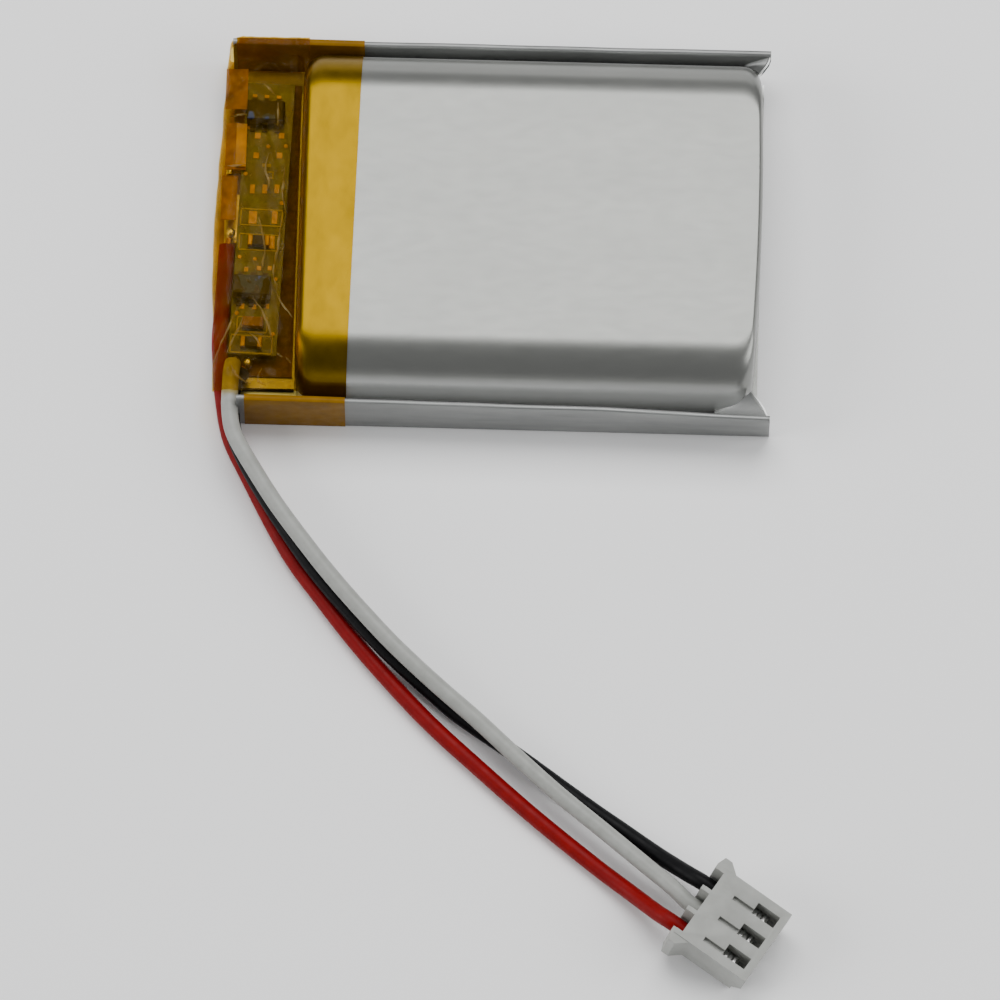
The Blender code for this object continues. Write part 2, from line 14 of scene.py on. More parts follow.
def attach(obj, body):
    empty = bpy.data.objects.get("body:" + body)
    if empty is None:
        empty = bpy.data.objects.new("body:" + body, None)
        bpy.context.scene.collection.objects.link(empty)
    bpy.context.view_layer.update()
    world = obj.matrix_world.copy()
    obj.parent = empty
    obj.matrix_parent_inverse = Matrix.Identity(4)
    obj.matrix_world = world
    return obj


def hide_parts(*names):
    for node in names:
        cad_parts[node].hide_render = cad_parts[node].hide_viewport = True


MM = 0.001
DOWN = Vector((0.0, 0.0, -1.0))

# Camera: the photograph's own angle, far away so that there is almost no perspective.
VIEW_TURN = math.radians(1.6)
VIEW_ELEVATION = math.radians(68.0)
VIEW_TARGET = Vector((1.28, -20.88, 0.0)) * MM
VIEW_DISTANCE = 1.2
VIEW_LENS = 561.6
LIGHT_TARGET = Vector((0.0, -0.02, 0.0))

# Pouch.
LAMINATE = 0.15 * MM
RIM_Z = 0.46 * MM
CUP_TOP = 7.39 * MM
CUP_LEFT = -14.7 * MM
CUP_RIGHT = 20.9 * MM
CUP_BOW = 0.5 * MM
CUP_HALF_WIDTH = 14.3 * MM
FLAT_HALF_WIDTH = 10.0 * MM
SHOULDER_DROP = 4.5 * MM
END_ROUND = 0.7 * MM
PLAN_CORNER = 1.6 * MM
FAR_ROUND_SHARE = 0.5
SEAL_TOP = 5.2 * MM
SEAL_END = {-1: 21.85 * MM, 1: 21.3 * MM}
SEAL_INNER = 14.60 * MM
SEAL_OUTER = 15.08 * MM
REAR_SLANT = 1.3 * MM
REAR_SLANT_TOP = 4.1 * MM
WEB = 0.12 * MM

# Tapes.
TAPE_GAP = 0.06 * MM
TAPE = 0.04 * MM
TAPE_RIGHT = (-10.25 * MM, -10.75 * MM)
FILM_FRONT = -14.1 * MM
FILM_REAR = 15.14 * MM
FILM = 0.05 * MM
FILM_ROWS = 190
FILM_COLUMNS = 150

# Board, in its own flat frame.
BOARD_CENTRE = Vector((-17.77, 1.21, 0.0)) * MM
BOARD_TURN = math.radians(-1.88)
BOARD_TOP = 2.1 * MM
BOARD_MATRIX = Matrix.Translation(BOARD_CENTRE) @ Matrix.Rotation(BOARD_TURN, 4, "Z")

# Leads and plug.
WIRE_RADIUS = 0.64 * MM
PLUG_REAR = Vector((17.2, -54.95, 4.83)) * MM
PLUG_YAW = math.radians(-32.2)
PLUG_PITCH = math.radians(10.0)
PLUG_LENGTH = 6.6 * MM
PLUG_HALF_WIDTH = 3.25 * MM
PLUG_EAR = 3.95 * MM
WIRE_DROP = 2.2 * MM
PIN_PITCH = 2.0 * MM
PLUG_MATRIX = (
    Matrix.Translation(PLUG_REAR) @ Matrix.Rotation(PLUG_YAW, 4, "Z") @ Matrix.Rotation(PLUG_PITCH, 4, "Y")
)

# The leads' routes, from the board to the plug.
RED_ROUTE = [
    (-0.02038, -0.00100, 0.00175), (-0.02047, -0.00380, 0.00158), (-0.02058, -0.00630, 0.00148),
    (-0.02068, -0.00880, 0.00146), (-0.02055, -0.01080, 0.00146), (-0.02044, -0.01240, 0.00136),
    (-0.02032, -0.01320, 0.00114), (-0.02018, -0.01410, 0.00092), (-0.01992, -0.01550, 0.00072),
    (-0.01940, -0.01720, 0.00066), (-0.01805, -0.01990, 0.00066), (-0.01605, -0.02380, 0.00066),
    (-0.01430, -0.02680, 0.00066), (-0.01215, -0.02970, 0.00066), (-0.00985, -0.03270, 0.00066),
    (-0.00740, -0.03560, 0.00066), (-0.00380, -0.03950, 0.00066), (0.00030, -0.04330, 0.00066),
    (0.00470, -0.04720, 0.00066), (0.00940, -0.05105, 0.00070), (0.01200, -0.05320, 0.00120),
    (0.01410, -0.05520, 0.00230), (0.01520, -0.05610, 0.00278), (0.01597, -0.05660, 0.00266),
    (0.01670, -0.05709, 0.00252),
]
BLACK_ROUTE = [
    (-0.01890, -0.01140, 0.00160), (-0.01920, -0.01220, 0.00180), (-0.01952, -0.01330, 0.00206),
    (-0.01957, -0.01470, 0.00204), (-0.01942, -0.01620, 0.00198), (-0.01892, -0.01780, 0.00198),
    (-0.01762, -0.02040, 0.00198), (-0.01555, -0.02375, 0.00194), (-0.01335, -0.02700, 0.00190),
    (-0.01145, -0.02940, 0.00184), (-0.00995, -0.03110, 0.00176), (-0.00825, -0.03295, 0.00158),
    (-0.00635, -0.03480, 0.00132), (-0.00320, -0.03750, 0.00088), (-0.00110, -0.03920, 0.00069),
    (0.00330, -0.04225, 0.00066), (0.00855, -0.04610, 0.00066), (0.01130, -0.04805, 0.00075),
    (0.01410, -0.05020, 0.00130), (0.01620, -0.05190, 0.00230), (0.01745, -0.05280, 0.00275),
    (0.01820, -0.05329, 0.00266), (0.01893, -0.05378, 0.00252),
]
WHITE_ROUTE = [
    (-0.01956, -0.01130, 0.00310), (-0.01966, -0.01230, 0.00338), (-0.01970, -0.01390, 0.00345),
    (-0.01969, -0.01510, 0.00340), (-0.01946, -0.01670, 0.00334), (-0.01892, -0.01800, 0.00331),
    (-0.01775, -0.02000, 0.00330), (-0.01590, -0.02290, 0.00326), (-0.01380, -0.02575, 0.00319),
    (-0.01155, -0.02860, 0.00310), (-0.00900, -0.03150, 0.00296), (-0.00630, -0.03430, 0.00272),
    (-0.00320, -0.03710, 0.00236), (0.00010, -0.03990, 0.00206), (0.00320, -0.04280, 0.00200),
    (0.00640, -0.04570, 0.00200), (0.00990, -0.04860, 0.00205), (0.01340, -0.05160, 0.00230),
    (0.01530, -0.05335, 0.00275), (0.01640, -0.05445, 0.00280), (0.01709, -0.05494, 0.00266),
    (0.01782, -0.05543, 0.00252),
]

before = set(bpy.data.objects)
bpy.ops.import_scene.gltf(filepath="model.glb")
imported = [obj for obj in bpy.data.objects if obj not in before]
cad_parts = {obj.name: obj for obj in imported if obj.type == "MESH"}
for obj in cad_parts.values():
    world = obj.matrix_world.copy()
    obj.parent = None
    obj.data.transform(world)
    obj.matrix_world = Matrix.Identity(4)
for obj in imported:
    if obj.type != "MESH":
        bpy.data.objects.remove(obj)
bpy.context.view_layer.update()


# ---------------------------------------------------------------- materials


def cloud(tree, mapping, size, detail):
    """A noise texture that lies on the object, its size in cycles per millimetre."""
    texture = tree.nodes.new("ShaderNodeTexNoise")
    texture.inputs["Scale"].default_value = size
    texture.inputs["Detail"].default_value = detail
    tree.links.new(mapping.outputs["Vector"], texture.inputs["Vector"])
    return texture


def spread(tree, source, low, high, start=0.3, end=0.7):
    """A value between low and high, as the source goes from start to end."""
    node = tree.nodes.new("ShaderNodeMapRange")
    for key, value in (("From Min", start), ("From Max", end), ("To Min", low), ("To Max", high)):
        node.inputs[key].default_value = value
    tree.links.new(source, node.inputs["Value"])
    return node


def node_finish(
    name, stops, scale, rough, bump=0.1, grain=40.0, metallic=0.0, coat=0.0,
    stretch=(1.0, 1.0, 1.0), shine=0.3,
):
    """A finish whose colour, gloss and surface vary: stops are (place, colour) along a noise's ramp."""
    made = bpy.data.materials.new(name)
    made.use_nodes = True
    tree = made.node_tree
    shader = tree.nodes["Principled BSDF"]
    place = tree.nodes.new("ShaderNodeTexCoord")
    mapping = tree.nodes.new("ShaderNodeMapping")
    mapping.inputs["Scale"].default_value = [1000.0 * s for s in stretch]
    tree.links.new(place.outputs["Object"], mapping.inputs["Vector"])
    tone = cloud(tree, mapping, scale, 5.0)
    ramp = tree.nodes.new("ShaderNodeValToRGB")
    ramp.color_ramp.elements[0].position = stops[0][0]
    ramp.color_ramp.elements[0].color = (*stops[0][1], 1.0)
    ramp.color_ramp.elements[1].position = stops[-1][0]
    ramp.color_ramp.elements[1].color = (*stops[-1][1], 1.0)
    for position, colour in stops[1:-1]:
        ramp.color_ramp.elements.new(position).color = (*colour, 1.0)
    tree.links.new(tone.outputs["Fac"], ramp.inputs["Fac"])
    tree.links.new(ramp.outputs["Color"], shader.inputs["Base Color"])
    fine = cloud(tree, mapping, grain, 3.0)
    gloss = spread(tree, fine.outputs["Fac"], *rough)
    tree.links.new(gloss.outputs["Result"], shader.inputs["Roughness"])
    relief = tree.nodes.new("ShaderNodeBump")
    relief.inputs["Strength"].default_value = bump
    relief.inputs["Distance"].default_value = 0.05 * MM
    tree.links.new(fine.outputs["Fac"], relief.inputs["Height"])
    tree.links.new(relief.outputs["Normal"], shader.inputs["Normal"])
    shader.inputs["Metallic"].default_value = metallic
    shader.inputs["Coat Weight"].default_value = coat
    shader.inputs["Coat Roughness"].default_value = 0.12
    shader.inputs["Specular IOR Level"].default_value = shine
    return made


def film_finish(name, tint, haze, share):
    """Clear coloured film: light passes through it tinted, and a share scatters from a hazy skin."""
    made = node_finish(name, haze, 0.45, (0.10, 0.22), bump=0.16, grain=2.4, coat=0.12, shine=0.15)
    tree = made.node_tree
    shader = tree.nodes["Principled BSDF"]
    clear = tree.nodes.new("ShaderNodeBsdfTransparent")
    clear.inputs["Color"].default_value = (*tint, 1.0)
    mix = tree.nodes.new("ShaderNodeMixShader")
    mapping = next(node for node in tree.nodes if node.type == "MAPPING")
    body = cloud(tree, mapping, 0.7, 3.0)
    amount = spread(tree, body.outputs["Fac"], *share)
    tree.links.new(amount.outputs["Result"], mix.inputs["Fac"])
    tree.links.new(clear.outputs["BSDF"], mix.inputs[1])
    tree.links.new(shader.outputs["BSDF"], mix.inputs[2])
    tree.links.new(mix.outputs["Shader"], tree.nodes["Material Output"].inputs["Surface"])
    return made


def paint_side_light(look, start, end, colour):
    """Paints light into a look: paler far from the middle line, for the light on the cup's low shoulders.
    """
    tree = look.node_tree
    shader = tree.nodes["Principled BSDF"]
    base = shader.inputs["Base Color"].links[0].from_socket
    place = next(node for node in tree.nodes if node.type == "TEX_COORD")
    split = tree.nodes.new("ShaderNodeSeparateXYZ")
    tree.links.new(place.outputs["Object"], split.inputs["Vector"])
    size = tree.nodes.new("ShaderNodeMath")
    size.operation = "ABSOLUTE"
    tree.links.new(split.outputs["Y"], size.inputs[0])
    amount = spread(tree, size.outputs["Value"], 0.0, 1.0, start, end)
    amount.interpolation_type = "SMOOTHSTEP"
    mix = tree.nodes.new("ShaderNodeMix")
    mix.data_type = "RGBA"
    tree.links.new(amount.outputs["Result"], mix.inputs[0])
    sockets = [socket for socket in mix.inputs if socket.type == "RGBA"]
    tree.links.new(base, sockets[0])
    sockets[1].default_value = (*colour, 1.0)
    result = next(socket for socket in mix.outputs if socket.type == "RGBA")
    tree.links.new(result, shader.inputs["Base Color"])


# Base colours are set by the photograph beside a pale floor, so the pale ones are darker than the material.
SILVER = node_finish(
    "pouch_laminate_look", [(0.3, (0.208, 0.212, 0.200)), (0.7, (0.220, 0.224, 0.211))], 0.35,
    (0.28, 0.33), bump=0.04, grain=1.6, metallic=0.72, stretch=(0.4, 1.0, 1.0),
)
STRIP_SILVER = node_finish(
    "folded_seal_look", [(0.3, (0.17, 0.175, 0.17)), (0.7, (0.24, 0.245, 0.24))], 0.5,
    (0.32, 0.45), bump=0.20, grain=1.2, metallic=0.6, stretch=(0.25, 1.0, 1.0),
)
# Painted light: the laminate turns far paler beyond 13.1 mm from the middle line, on the cup's low
# shoulders and the laminate beside them.
paint_side_light(SILVER, 13.1 * MM, 14.0 * MM, (0.85, 0.86, 0.84))
YELLOW_TAPE = node_finish(
    "yellow_tape_look", [(0.3, (0.165, 0.098, 0.0)), (0.7, (0.185, 0.110, 0.0))], 0.4,
    (0.30, 0.38), bump=0.10, grain=1.0, metallic=0.96, stretch=(1.0, 0.6, 1.0),
)
AMBER_FILM = film_finish(
    "amber_film_look", (0.93, 0.80, 0.38),
    [(0.3, (0.062, 0.036, 0.003)), (0.7, (0.15, 0.088, 0.008))], (0.03, 0.20),
)
# Painted highlight: a paler, hazier copy of the film for the glints along its folds.
FOLD_HIGHLIGHT = film_finish(
    "film_fold_highlight_look", (0.97, 0.90, 0.66),
    [(0.3, (0.22, 0.15, 0.04)), (0.7, (0.42, 0.34, 0.16))], (0.02, 0.50),
)
WRAP_TAPE = node_finish(
    "tape_on_seal_look", [(0.3, (0.17, 0.080, 0.0)), (0.7, (0.22, 0.105, 0.0))], 0.8, (0.35, 0.5),
    bump=0.15, grain=1.5, shine=0.08,
)
BRIGHT_TAPE = node_finish(
    "bright_tape_look", [(0.3, (0.52, 0.32, 0.0)), (0.7, (0.62, 0.40, 0.004))], 0.9,
    (0.40, 0.55), bump=0.3, grain=2.0,
)
AMBER_TAPE = node_finish(
    "folded_tape_look", [(0.3, (0.18, 0.080, 0.003)), (0.7, (0.42, 0.22, 0.010))], 0.9,
    (0.40, 0.55), bump=0.3, grain=2.0,
)
BOARD_GREEN = node_finish(
    "solder_mask_look",
    [(0.35, (0.004, 0.020, 0.006)), (0.5, (0.008, 0.036, 0.010)), (0.62, (0.025, 0.070, 0.018))],
    0.9, (0.25, 0.40), bump=0.15, grain=3.0, coat=0.4,
)
SILK_GOLD = node_finish(
    "board_marking_look", [(0.3, (0.26, 0.25, 0.05)), (0.7, (0.42, 0.40, 0.10))], 3.0, (0.4, 0.6), bump=0.1
)
# Black moulded epoxy; the blue in its colour is a painted sheen.
CHIP_BLACK = node_finish(
    "moulded_epoxy_look", [(0.3, (0.006, 0.008, 0.020)), (0.7, (0.016, 0.022, 0.055))], 4.0,
    (0.35, 0.55), bump=0.25,
)
CERAMIC = node_finish(
    "ceramic_look", [(0.3, (0.20, 0.10, 0.05)), (0.7, (0.34, 0.20, 0.11))], 5.0, (0.4, 0.6), bump=0.2
)
TIN = node_finish(
    "tinned_metal_look", [(0.3, (0.62, 0.62, 0.60)), (0.7, (0.90, 0.90, 0.88))], 3.0,
    (0.25, 0.42), bump=0.20, grain=6.0, metallic=1.0,
)
GOLD_PAD = node_finish(
    "solder_pad_look", [(0.3, (0.22, 0.14, 0.015)), (0.7, (0.36, 0.24, 0.04))], 3.0,
    (0.30, 0.50), bump=0.20, grain=6.0, metallic=0.6,
)
COPPER = node_finish(
    "copper_look", [(0.3, (0.60, 0.30, 0.15)), (0.7, (0.80, 0.48, 0.30))], 6.0,
    (0.25, 0.40), bump=0.3, grain=9.0, metallic=1.0,
)
NICKEL = node_finish(
    "nickel_look", [(0.3, (0.50, 0.47, 0.42)), (0.7, (0.66, 0.62, 0.55))], 1.5,
    (0.25, 0.42), bump=0.15, grain=9.0, metallic=1.0, stretch=(1.0, 0.2, 1.0),
)
ALUMINIUM = node_finish(
    "aluminium_tab_look", [(0.3, (0.66, 0.66, 0.66)), (0.7, (0.80, 0.80, 0.80))], 1.5,
    (0.22, 0.36), bump=0.15, grain=9.0, metallic=1.0, stretch=(0.2, 1.0, 1.0),
)
SEALANT = node_finish(
    "tab_sealant_look", [(0.3, (0.10, 0.08, 0.05)), (0.7, (0.24, 0.20, 0.14))], 2.0, (0.35, 0.5), bump=0.15
)
# Insulation paper: brown, with painted shade that darkens it where it shows in the gap beside the board.
SHADED_PAPER = node_finish(
    "insulation_paper_shade_look", [(0.3, (0.09, 0.045, 0.010)), (0.7, (0.20, 0.10, 0.022))], 2.2,
    (0.6, 0.85), bump=0.5,
)
ANODE = node_finish(
    "anode_look", [(0.3, (0.020, 0.020, 0.022)), (0.7, (0.05, 0.05, 0.054))], 6.0, (0.6, 0.85), bump=0.5
)
CATHODE = node_finish(
    "cathode_look", [(0.3, (0.035, 0.035, 0.04)), (0.7, (0.07, 0.07, 0.078))], 6.0, (0.5, 0.7), bump=0.4
)
SEPARATOR = node_finish(
    "separator_look", [(0.3, (0.72, 0.72, 0.70)), (0.7, (0.84, 0.84, 0.82))], 1.5, (0.4, 0.55), bump=0.15
)
ROLL_TAPE = node_finish(
    "roll_tape_look", [(0.3, (0.02, 0.14, 0.06)), (0.7, (0.05, 0.24, 0.11))], 1.2,
    (0.2, 0.35), bump=0.1, coat=0.4,
)
RED = node_finish(
    "red_insulation_look", [(0.3, (0.16, 0.0005, 0.0015)), (0.7, (0.20, 0.001, 0.002))], 1.2,
    (0.42, 0.55), bump=0.18, grain=1.5, shine=0.12,
)
BLACK = node_finish(
    "black_insulation_look", [(0.3, (0.0015, 0.0015, 0.002)), (0.7, (0.004, 0.004, 0.0045))], 1.2,
    (0.42, 0.55), bump=0.18, grain=1.5, shine=0.12,
)
WHITE = node_finish(
    "white_insulation_look", [(0.3, (0.27, 0.275, 0.255)), (0.7, (0.32, 0.325, 0.305))], 1.2,
    (0.34, 0.48), bump=0.18, grain=1.5,
)
NYLON = node_finish(
    "connector_nylon_look", [(0.3, (0.29, 0.295, 0.275)), (0.7, (0.34, 0.345, 0.325))], 0.8,
    (0.38, 0.50), bump=0.14, grain=5.0,
)


# ---------------------------------------------------------------- building helpers


def built(name, mesh, smooth=38.0):
    """An object made from a bmesh, its faces turned outward and its edges sharp above the smooth angle."""
    bmesh.ops.recalc_face_normals(mesh, faces=mesh.faces)
    data = bpy.data.meshes.new(name)
    mesh.to_mesh(data)
    mesh.free()
    data.shade_smooth()
    data.set_sharp_from_angle(angle=math.radians(smooth))
    obj = bpy.data.objects.new(name, data)
    bpy.context.scene.collection.objects.link(obj)
    return obj


def dress(obj, look, node=None):
    """Gives an object its look, rides it on the pack, and hides the CAD node it stands for."""
    obj.data.materials.clear()
    obj.data.materials.append(look)
    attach(obj, "root")
    if node:
        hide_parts(node)


def finished(name, mesh, look, node=None, smooth=38.0):
    """A piece of the pack, made from a bmesh and dressed."""
    obj = built(name, mesh, smooth)
    dress(obj, look, node)
    return obj


def bridge(mesh, first, second):
    """Faces between two closed rings of vertices."""
    for i in range(len(first)):
        j = (i + 1) % len(first)
        mesh.faces.new((first[i], first[j], second[j], second[i]))


def loft(rings):
    """Closed rings of the same count joined into one solid, its two ends closed."""
    mesh = bmesh.new()
    made = [[mesh.verts.new(point) for point in ring] for ring in rings]
    for first, second in zip(made, made[1:]):
        bridge(mesh, first, second)
    mesh.faces.new(made[0])
    mesh.faces.new(made[-1])
    return mesh


def skin(outer, thickness, inward):
    """A solid sheet from a grid of points: each row offset by thickness along inward(row, column)."""
    mesh = bmesh.new()
    rows, columns = len(outer), len(outer[0])
    top = [[mesh.verts.new(p) for p in row] for row in outer]
    base = []
    for i, row in enumerate(outer):
        base.append([mesh.verts.new(Vector(p) + inward(i, j) * thickness) for j, p in enumerate(row)])
    for i in range(rows - 1):
        for j in range(columns - 1):
            mesh.faces.new((top[i][j], top[i][j + 1], top[i + 1][j + 1], top[i + 1][j]))
            mesh.faces.new((base[i][j], base[i + 1][j], base[i + 1][j + 1], base[i][j + 1]))
    for j in range(columns - 1):
        mesh.faces.new((top[0][j + 1], top[0][j], base[0][j], base[0][j + 1]))
        mesh.faces.new((top[-1][j], top[-1][j + 1], base[-1][j + 1], base[-1][j]))
    for i in range(rows - 1):
        mesh.faces.new((top[i][0], top[i + 1][0], base[i + 1][0], base[i][0]))
        mesh.faces.new((top[i + 1][-1], top[i][-1], base[i][-1], base[i + 1][-1]))
    return mesh


def grid_normals(grid):
    """Unit normals of a grid of points, from the differences of its neighbours."""
    rows, columns = len(grid), len(grid[0])
    result = []
    for i in range(rows):
        line = []
        for j in range(columns):
            along = Vector(grid[min(i + 1, rows - 1)][j]) - Vector(grid[max(i - 1, 0)][j])
            across = Vector(grid[i][min(j + 1, columns - 1)]) - Vector(grid[i][max(j - 1, 0)])
            line.append(along.cross(across).normalized())
        result.append(line)
    return result


def sheet_solid(grid, thickness):
    """A solid sheet below a grid of points, square to its surface."""
    normals = grid_normals(grid)
    return skin(grid, thickness, lambda i, j: -normals[i][j])


def add_box(mesh, low, high):
    """Adds a box between two corners, given in millimetres, to a bmesh."""
    made = bmesh.ops.create_cube(mesh, size=1.0)
    for vert in made["verts"]:
        vert.co = [low[i] * MM if vert.co[i] < 0.0 else high[i] * MM for i in range(3)]


def box_mesh(low, high):
    mesh = bmesh.new()
    add_box(mesh, low, high)
    return mesh


def rounded(obj, width, segments=2, angle=30.0):
    """Rounds an object's sharper edges and makes that part of its mesh."""
    modifier = obj.modifiers.new("edge_rounding", "BEVEL")
    modifier.width = width
    modifier.segments = segments
    modifier.limit_method = "ANGLE"
    modifier.angle_limit = math.radians(angle)
    modifier.harden_normals = False
    applied(obj)


def applied(obj):
    """Makes an object's modifiers part of its mesh."""
    graph = bpy.context.evaluated_depsgraph_get()
    data = bpy.data.meshes.new_from_object(obj.evaluated_get(graph))
    obj.modifiers.clear()
    obj.data = data


def wave(x, y, size, seed):
    """Smooth noise between about -1 and 1, size in metres."""
    return noise.noise(Vector((x / size, y / size, seed)))


# ---------------------------------------------------------------- pouch


def bowed(x, y):
    """The x of a point on the cup, whose far end bulges out a little in the middle of the cell."""
    share = max(0.0, min(1.0, (x - 17.0 * MM) / (4.0 * MM)))
    middle = 1.5 * MM
    return x - CUP_BOW * share * ((y - middle) / (14.0 * MM)) ** 2


def cup_ring(z, inset=0.0):
    """The cup's outline at one height, narrower up the shoulders, with round corners in plan."""
    share = max(0.0, (z - (CUP_TOP - END_ROUND)) / END_ROUND)
    end = END_ROUND * (1.0 - math.sqrt(max(0.0, 1.0 - share * share)))
    rise = min(max((z - (CUP_TOP - SHOULDER_DROP)) / SHOULDER_DROP, 0.0), 1.0)
    half = FLAT_HALF_WIDTH + (CUP_HALF_WIDTH - FLAT_HALF_WIDTH) * math.sqrt(1.0 - rise * rise) - inset
    low_x, high_x = CUP_LEFT + end + inset, CUP_RIGHT - FAR_ROUND_SHARE * end - inset
    corner = PLAN_CORNER - inset
    ring = []
    corners = [
        (high_x - corner, half - corner, 0.0), (low_x + corner, half - corner, 90.0),
        (low_x + corner, corner - half, 180.0), (high_x - corner, corner - half, 270.0),
    ]
    for number, (x, y, start) in enumerate(corners):
        for step in range(9):
            angle = math.radians(start + 90.0 * step / 8)
            ring.append((x + corner * math.cos(angle), y + corner * math.sin(angle)))
        after = corners[(number + 1) % 4]
        turn = math.radians(start + 90.0)
        first = Vector((x + corner * math.cos(turn), y + corner * math.sin(turn)))
        last = Vector((after[0] + corner * math.cos(turn), after[1] + corner * math.sin(turn)))
        for step in range(1, 24):
            ring.append(tuple(first.lerp(last, step / 24)))
    return [(bowed(x, y), y, z) for x, y in ring]


def make_pouch():
    """The drawn cup as a shell: up the outside, over the top and down the inside."""
    low = CUP_TOP - SHOULDER_DROP
    levels = [RIM_Z, RIM_Z + 1.2 * MM, low] + [
        low + SHOULDER_DROP * math.sin(math.radians(angle)) for angle in list(range(6, 90, 6)) + [87, 90]
    ]
    outer = [cup_ring(z) for z in levels]
    scale = (CUP_TOP - LAMINATE - RIM_Z) / (CUP_TOP - RIM_Z)
    inner = [[(x, y, RIM_Z + (z - RIM_Z) * scale) for x, y, _ in cup_ring(z, LAMINATE)] for z in levels]
    mesh = loft(list(reversed(inner)) + outer)
    finished("pouch_shell", mesh, SILVER, "pouch_cup", smooth=60.0)


def strip_lean(side, x):
    """How far the strip's top edge stands out from its foot, and how it waves."""
    along = (x + 20.0 * MM) / (41.5 * MM)
    if side < 0:
        lean = (0.15 + 0.35 * along + max(0.0, along - 0.7)) * MM
        return lean + 0.05 * MM * wave(x, 0.0, 5 * MM, 3.0)
    return (0.02 + 0.06 * along) * MM + 0.05 * MM * wave(x, 0.0, 6 * MM, 8.0)


def strip_profile(side, x, grow=0.0):
    """The folded seal's outline at one station, as (y, z), its top leaning outward."""
    lean = strip_lean(side, x)
    top = SEAL_TOP + 0.04 * MM * wave(x, 0.0, 7 * MM, 5.0 + side) + grow
    inner, outer = SEAL_INNER - grow, SEAL_OUTER + grow
    points = []
    for z in (0.12, 0.4, 1.2, 2.2, 3.2, 4.2, 4.9):
        points.append((outer + lean * (z / 5.2), z * MM - (grow if z < 0.3 else 0.0)))
    points += [(outer + lean - 0.06 * MM, top - 0.05 * MM), (outer + lean - 0.16 * MM, top)]
    points += [(inner + lean + 0.12 * MM, top), (inner + lean + 0.03 * MM, top - 0.07 * MM)]
    for z in (4.9, 4.2, 3.2, 2.2, 1.2, 0.6, 0.12):
        points.append((inner + lean * (z / 5.2), z * MM - (grow if z < 0.3 else 0.0)))
    return [(side * y, z) for y, z in points]


def make_strip(name, side, start, node):
    """One folded seal. The rear one was cut at a slant, so its lower edge ends short of its upper one."""
    slant = REAR_SLANT if side > 0 else 0.0
    rings = []
    count = 72
    for step in range(count + 1):
        x = start + (SEAL_END[side] - start) * step / count
        ring = []
        for y, z in strip_profile(side, x):
            short = slant * max(0.0, 1.0 - z / REAR_SLANT_TOP) ** 1.4
            ring.append((x - short * (step / count) ** 12, y, z))
        rings.append(ring)
    finished(name, loft(rings), STRIP_SILVER, node, smooth=45.0)


def make_gusset(name, side):
    """The upright web of laminate at the cell's corner, from the cup's end to the folded seal's end."""
    rows = []
    for i in range(15):
        rise = i / 14
        z = (1.4 + 3.5 * rise) * MM
        lean = strip_lean(side, SEAL_END[side]) * z / SEAL_TOP
        far = Vector((SEAL_END[side] - (0.12 + 1.3 * (1.0 - rise)) * MM, side * (14.66 * MM + lean), z))
        near = Vector(((20.0 + 0.4 * rise) * MM, side * (13.93 - 0.62 * rise**3) * MM, z))
        row = []
        for j in range(13):
            share = j / 12
            sag = math.sin(math.pi * share) * (0.36 - 0.20 * rise) * MM
            point = near.lerp(far, share) + Vector((sag, side * sag * 0.1, 0.0))
            row.append(point)
        rows.append(row)
    node = "side_seal_front" if side < 0 else "side_seal_rear"
    finished(name, sheet_solid(rows, WEB), SILVER, node)
    make_corner_fill(name + "_fill", side, node)


def make_corner_fill(name, side, node):
    """The laminate that sags between the cup's far corner and the folded seal, in millimetres."""
    start = 17.6 if side < 0 else 19.2
    end = SEAL_END[side] / MM - 0.15
    deepest = 0.45 if side > 0 else 0.225
    rows = []
    for i in range(21):
        along = i / 20
        near_y = side * (14.28 - 0.97 * along**2)
        near = Vector((start + (20.4 - start) * along, near_y, 3.2 + 1.68 * along))
        x = start + (end - start) * along
        lean = strip_lean(side, x * MM) / MM
        height = 3.2 + 1.72 * along**0.7
        far = Vector((x, side * (14.64 + lean * height / 5.2), height))
        row = []
        for j in range(11):
            share = j / 10
            sag = deepest * math.sin(math.pi * share) * along
            row.append((near.lerp(far, share) - Vector((0.0, 0.0, sag))) * MM)
        rows.append(row)
    mesh = skin(rows, WEB, lambda i, j: DOWN)
    finished(name, mesh, STRIP_SILVER, node)


# ---------------------------------------------------------------- end tape


def cup_section(x, grow):
    """Half of the cup's section at x, from its top's middle round the shoulder, as (y, z) grown outward."""
    into = max(0.0, min(END_ROUND, x - (CUP_LEFT - grow)))
    top = CUP_TOP + grow - END_ROUND + math.sqrt(max(0.0, END_ROUND**2 - (END_ROUND - into) ** 2))
    deep = max(0.0, min(PLAN_CORNER, x - (CUP_LEFT - grow)))
    narrow = PLAN_CORNER - math.sqrt(max(0.0, PLAN_CORNER**2 - (PLAN_CORNER - deep) ** 2))
    points = [(y * MM, top) for y in (0.0, 2.5, 5.0, 7.5, 9.0)]
    for angle in range(90, 5, -6):
        rise, reach = math.sin(math.radians(angle)), math.cos(math.radians(angle))
        y = FLAT_HALF_WIDTH + (CUP_HALF_WIDTH - FLAT_HALF_WIDTH + grow) * reach - narrow
        z = CUP_TOP - SHOULDER_DROP + (SHOULDER_DROP + grow) * rise
        points.append((y, min(z, top)))
    return points


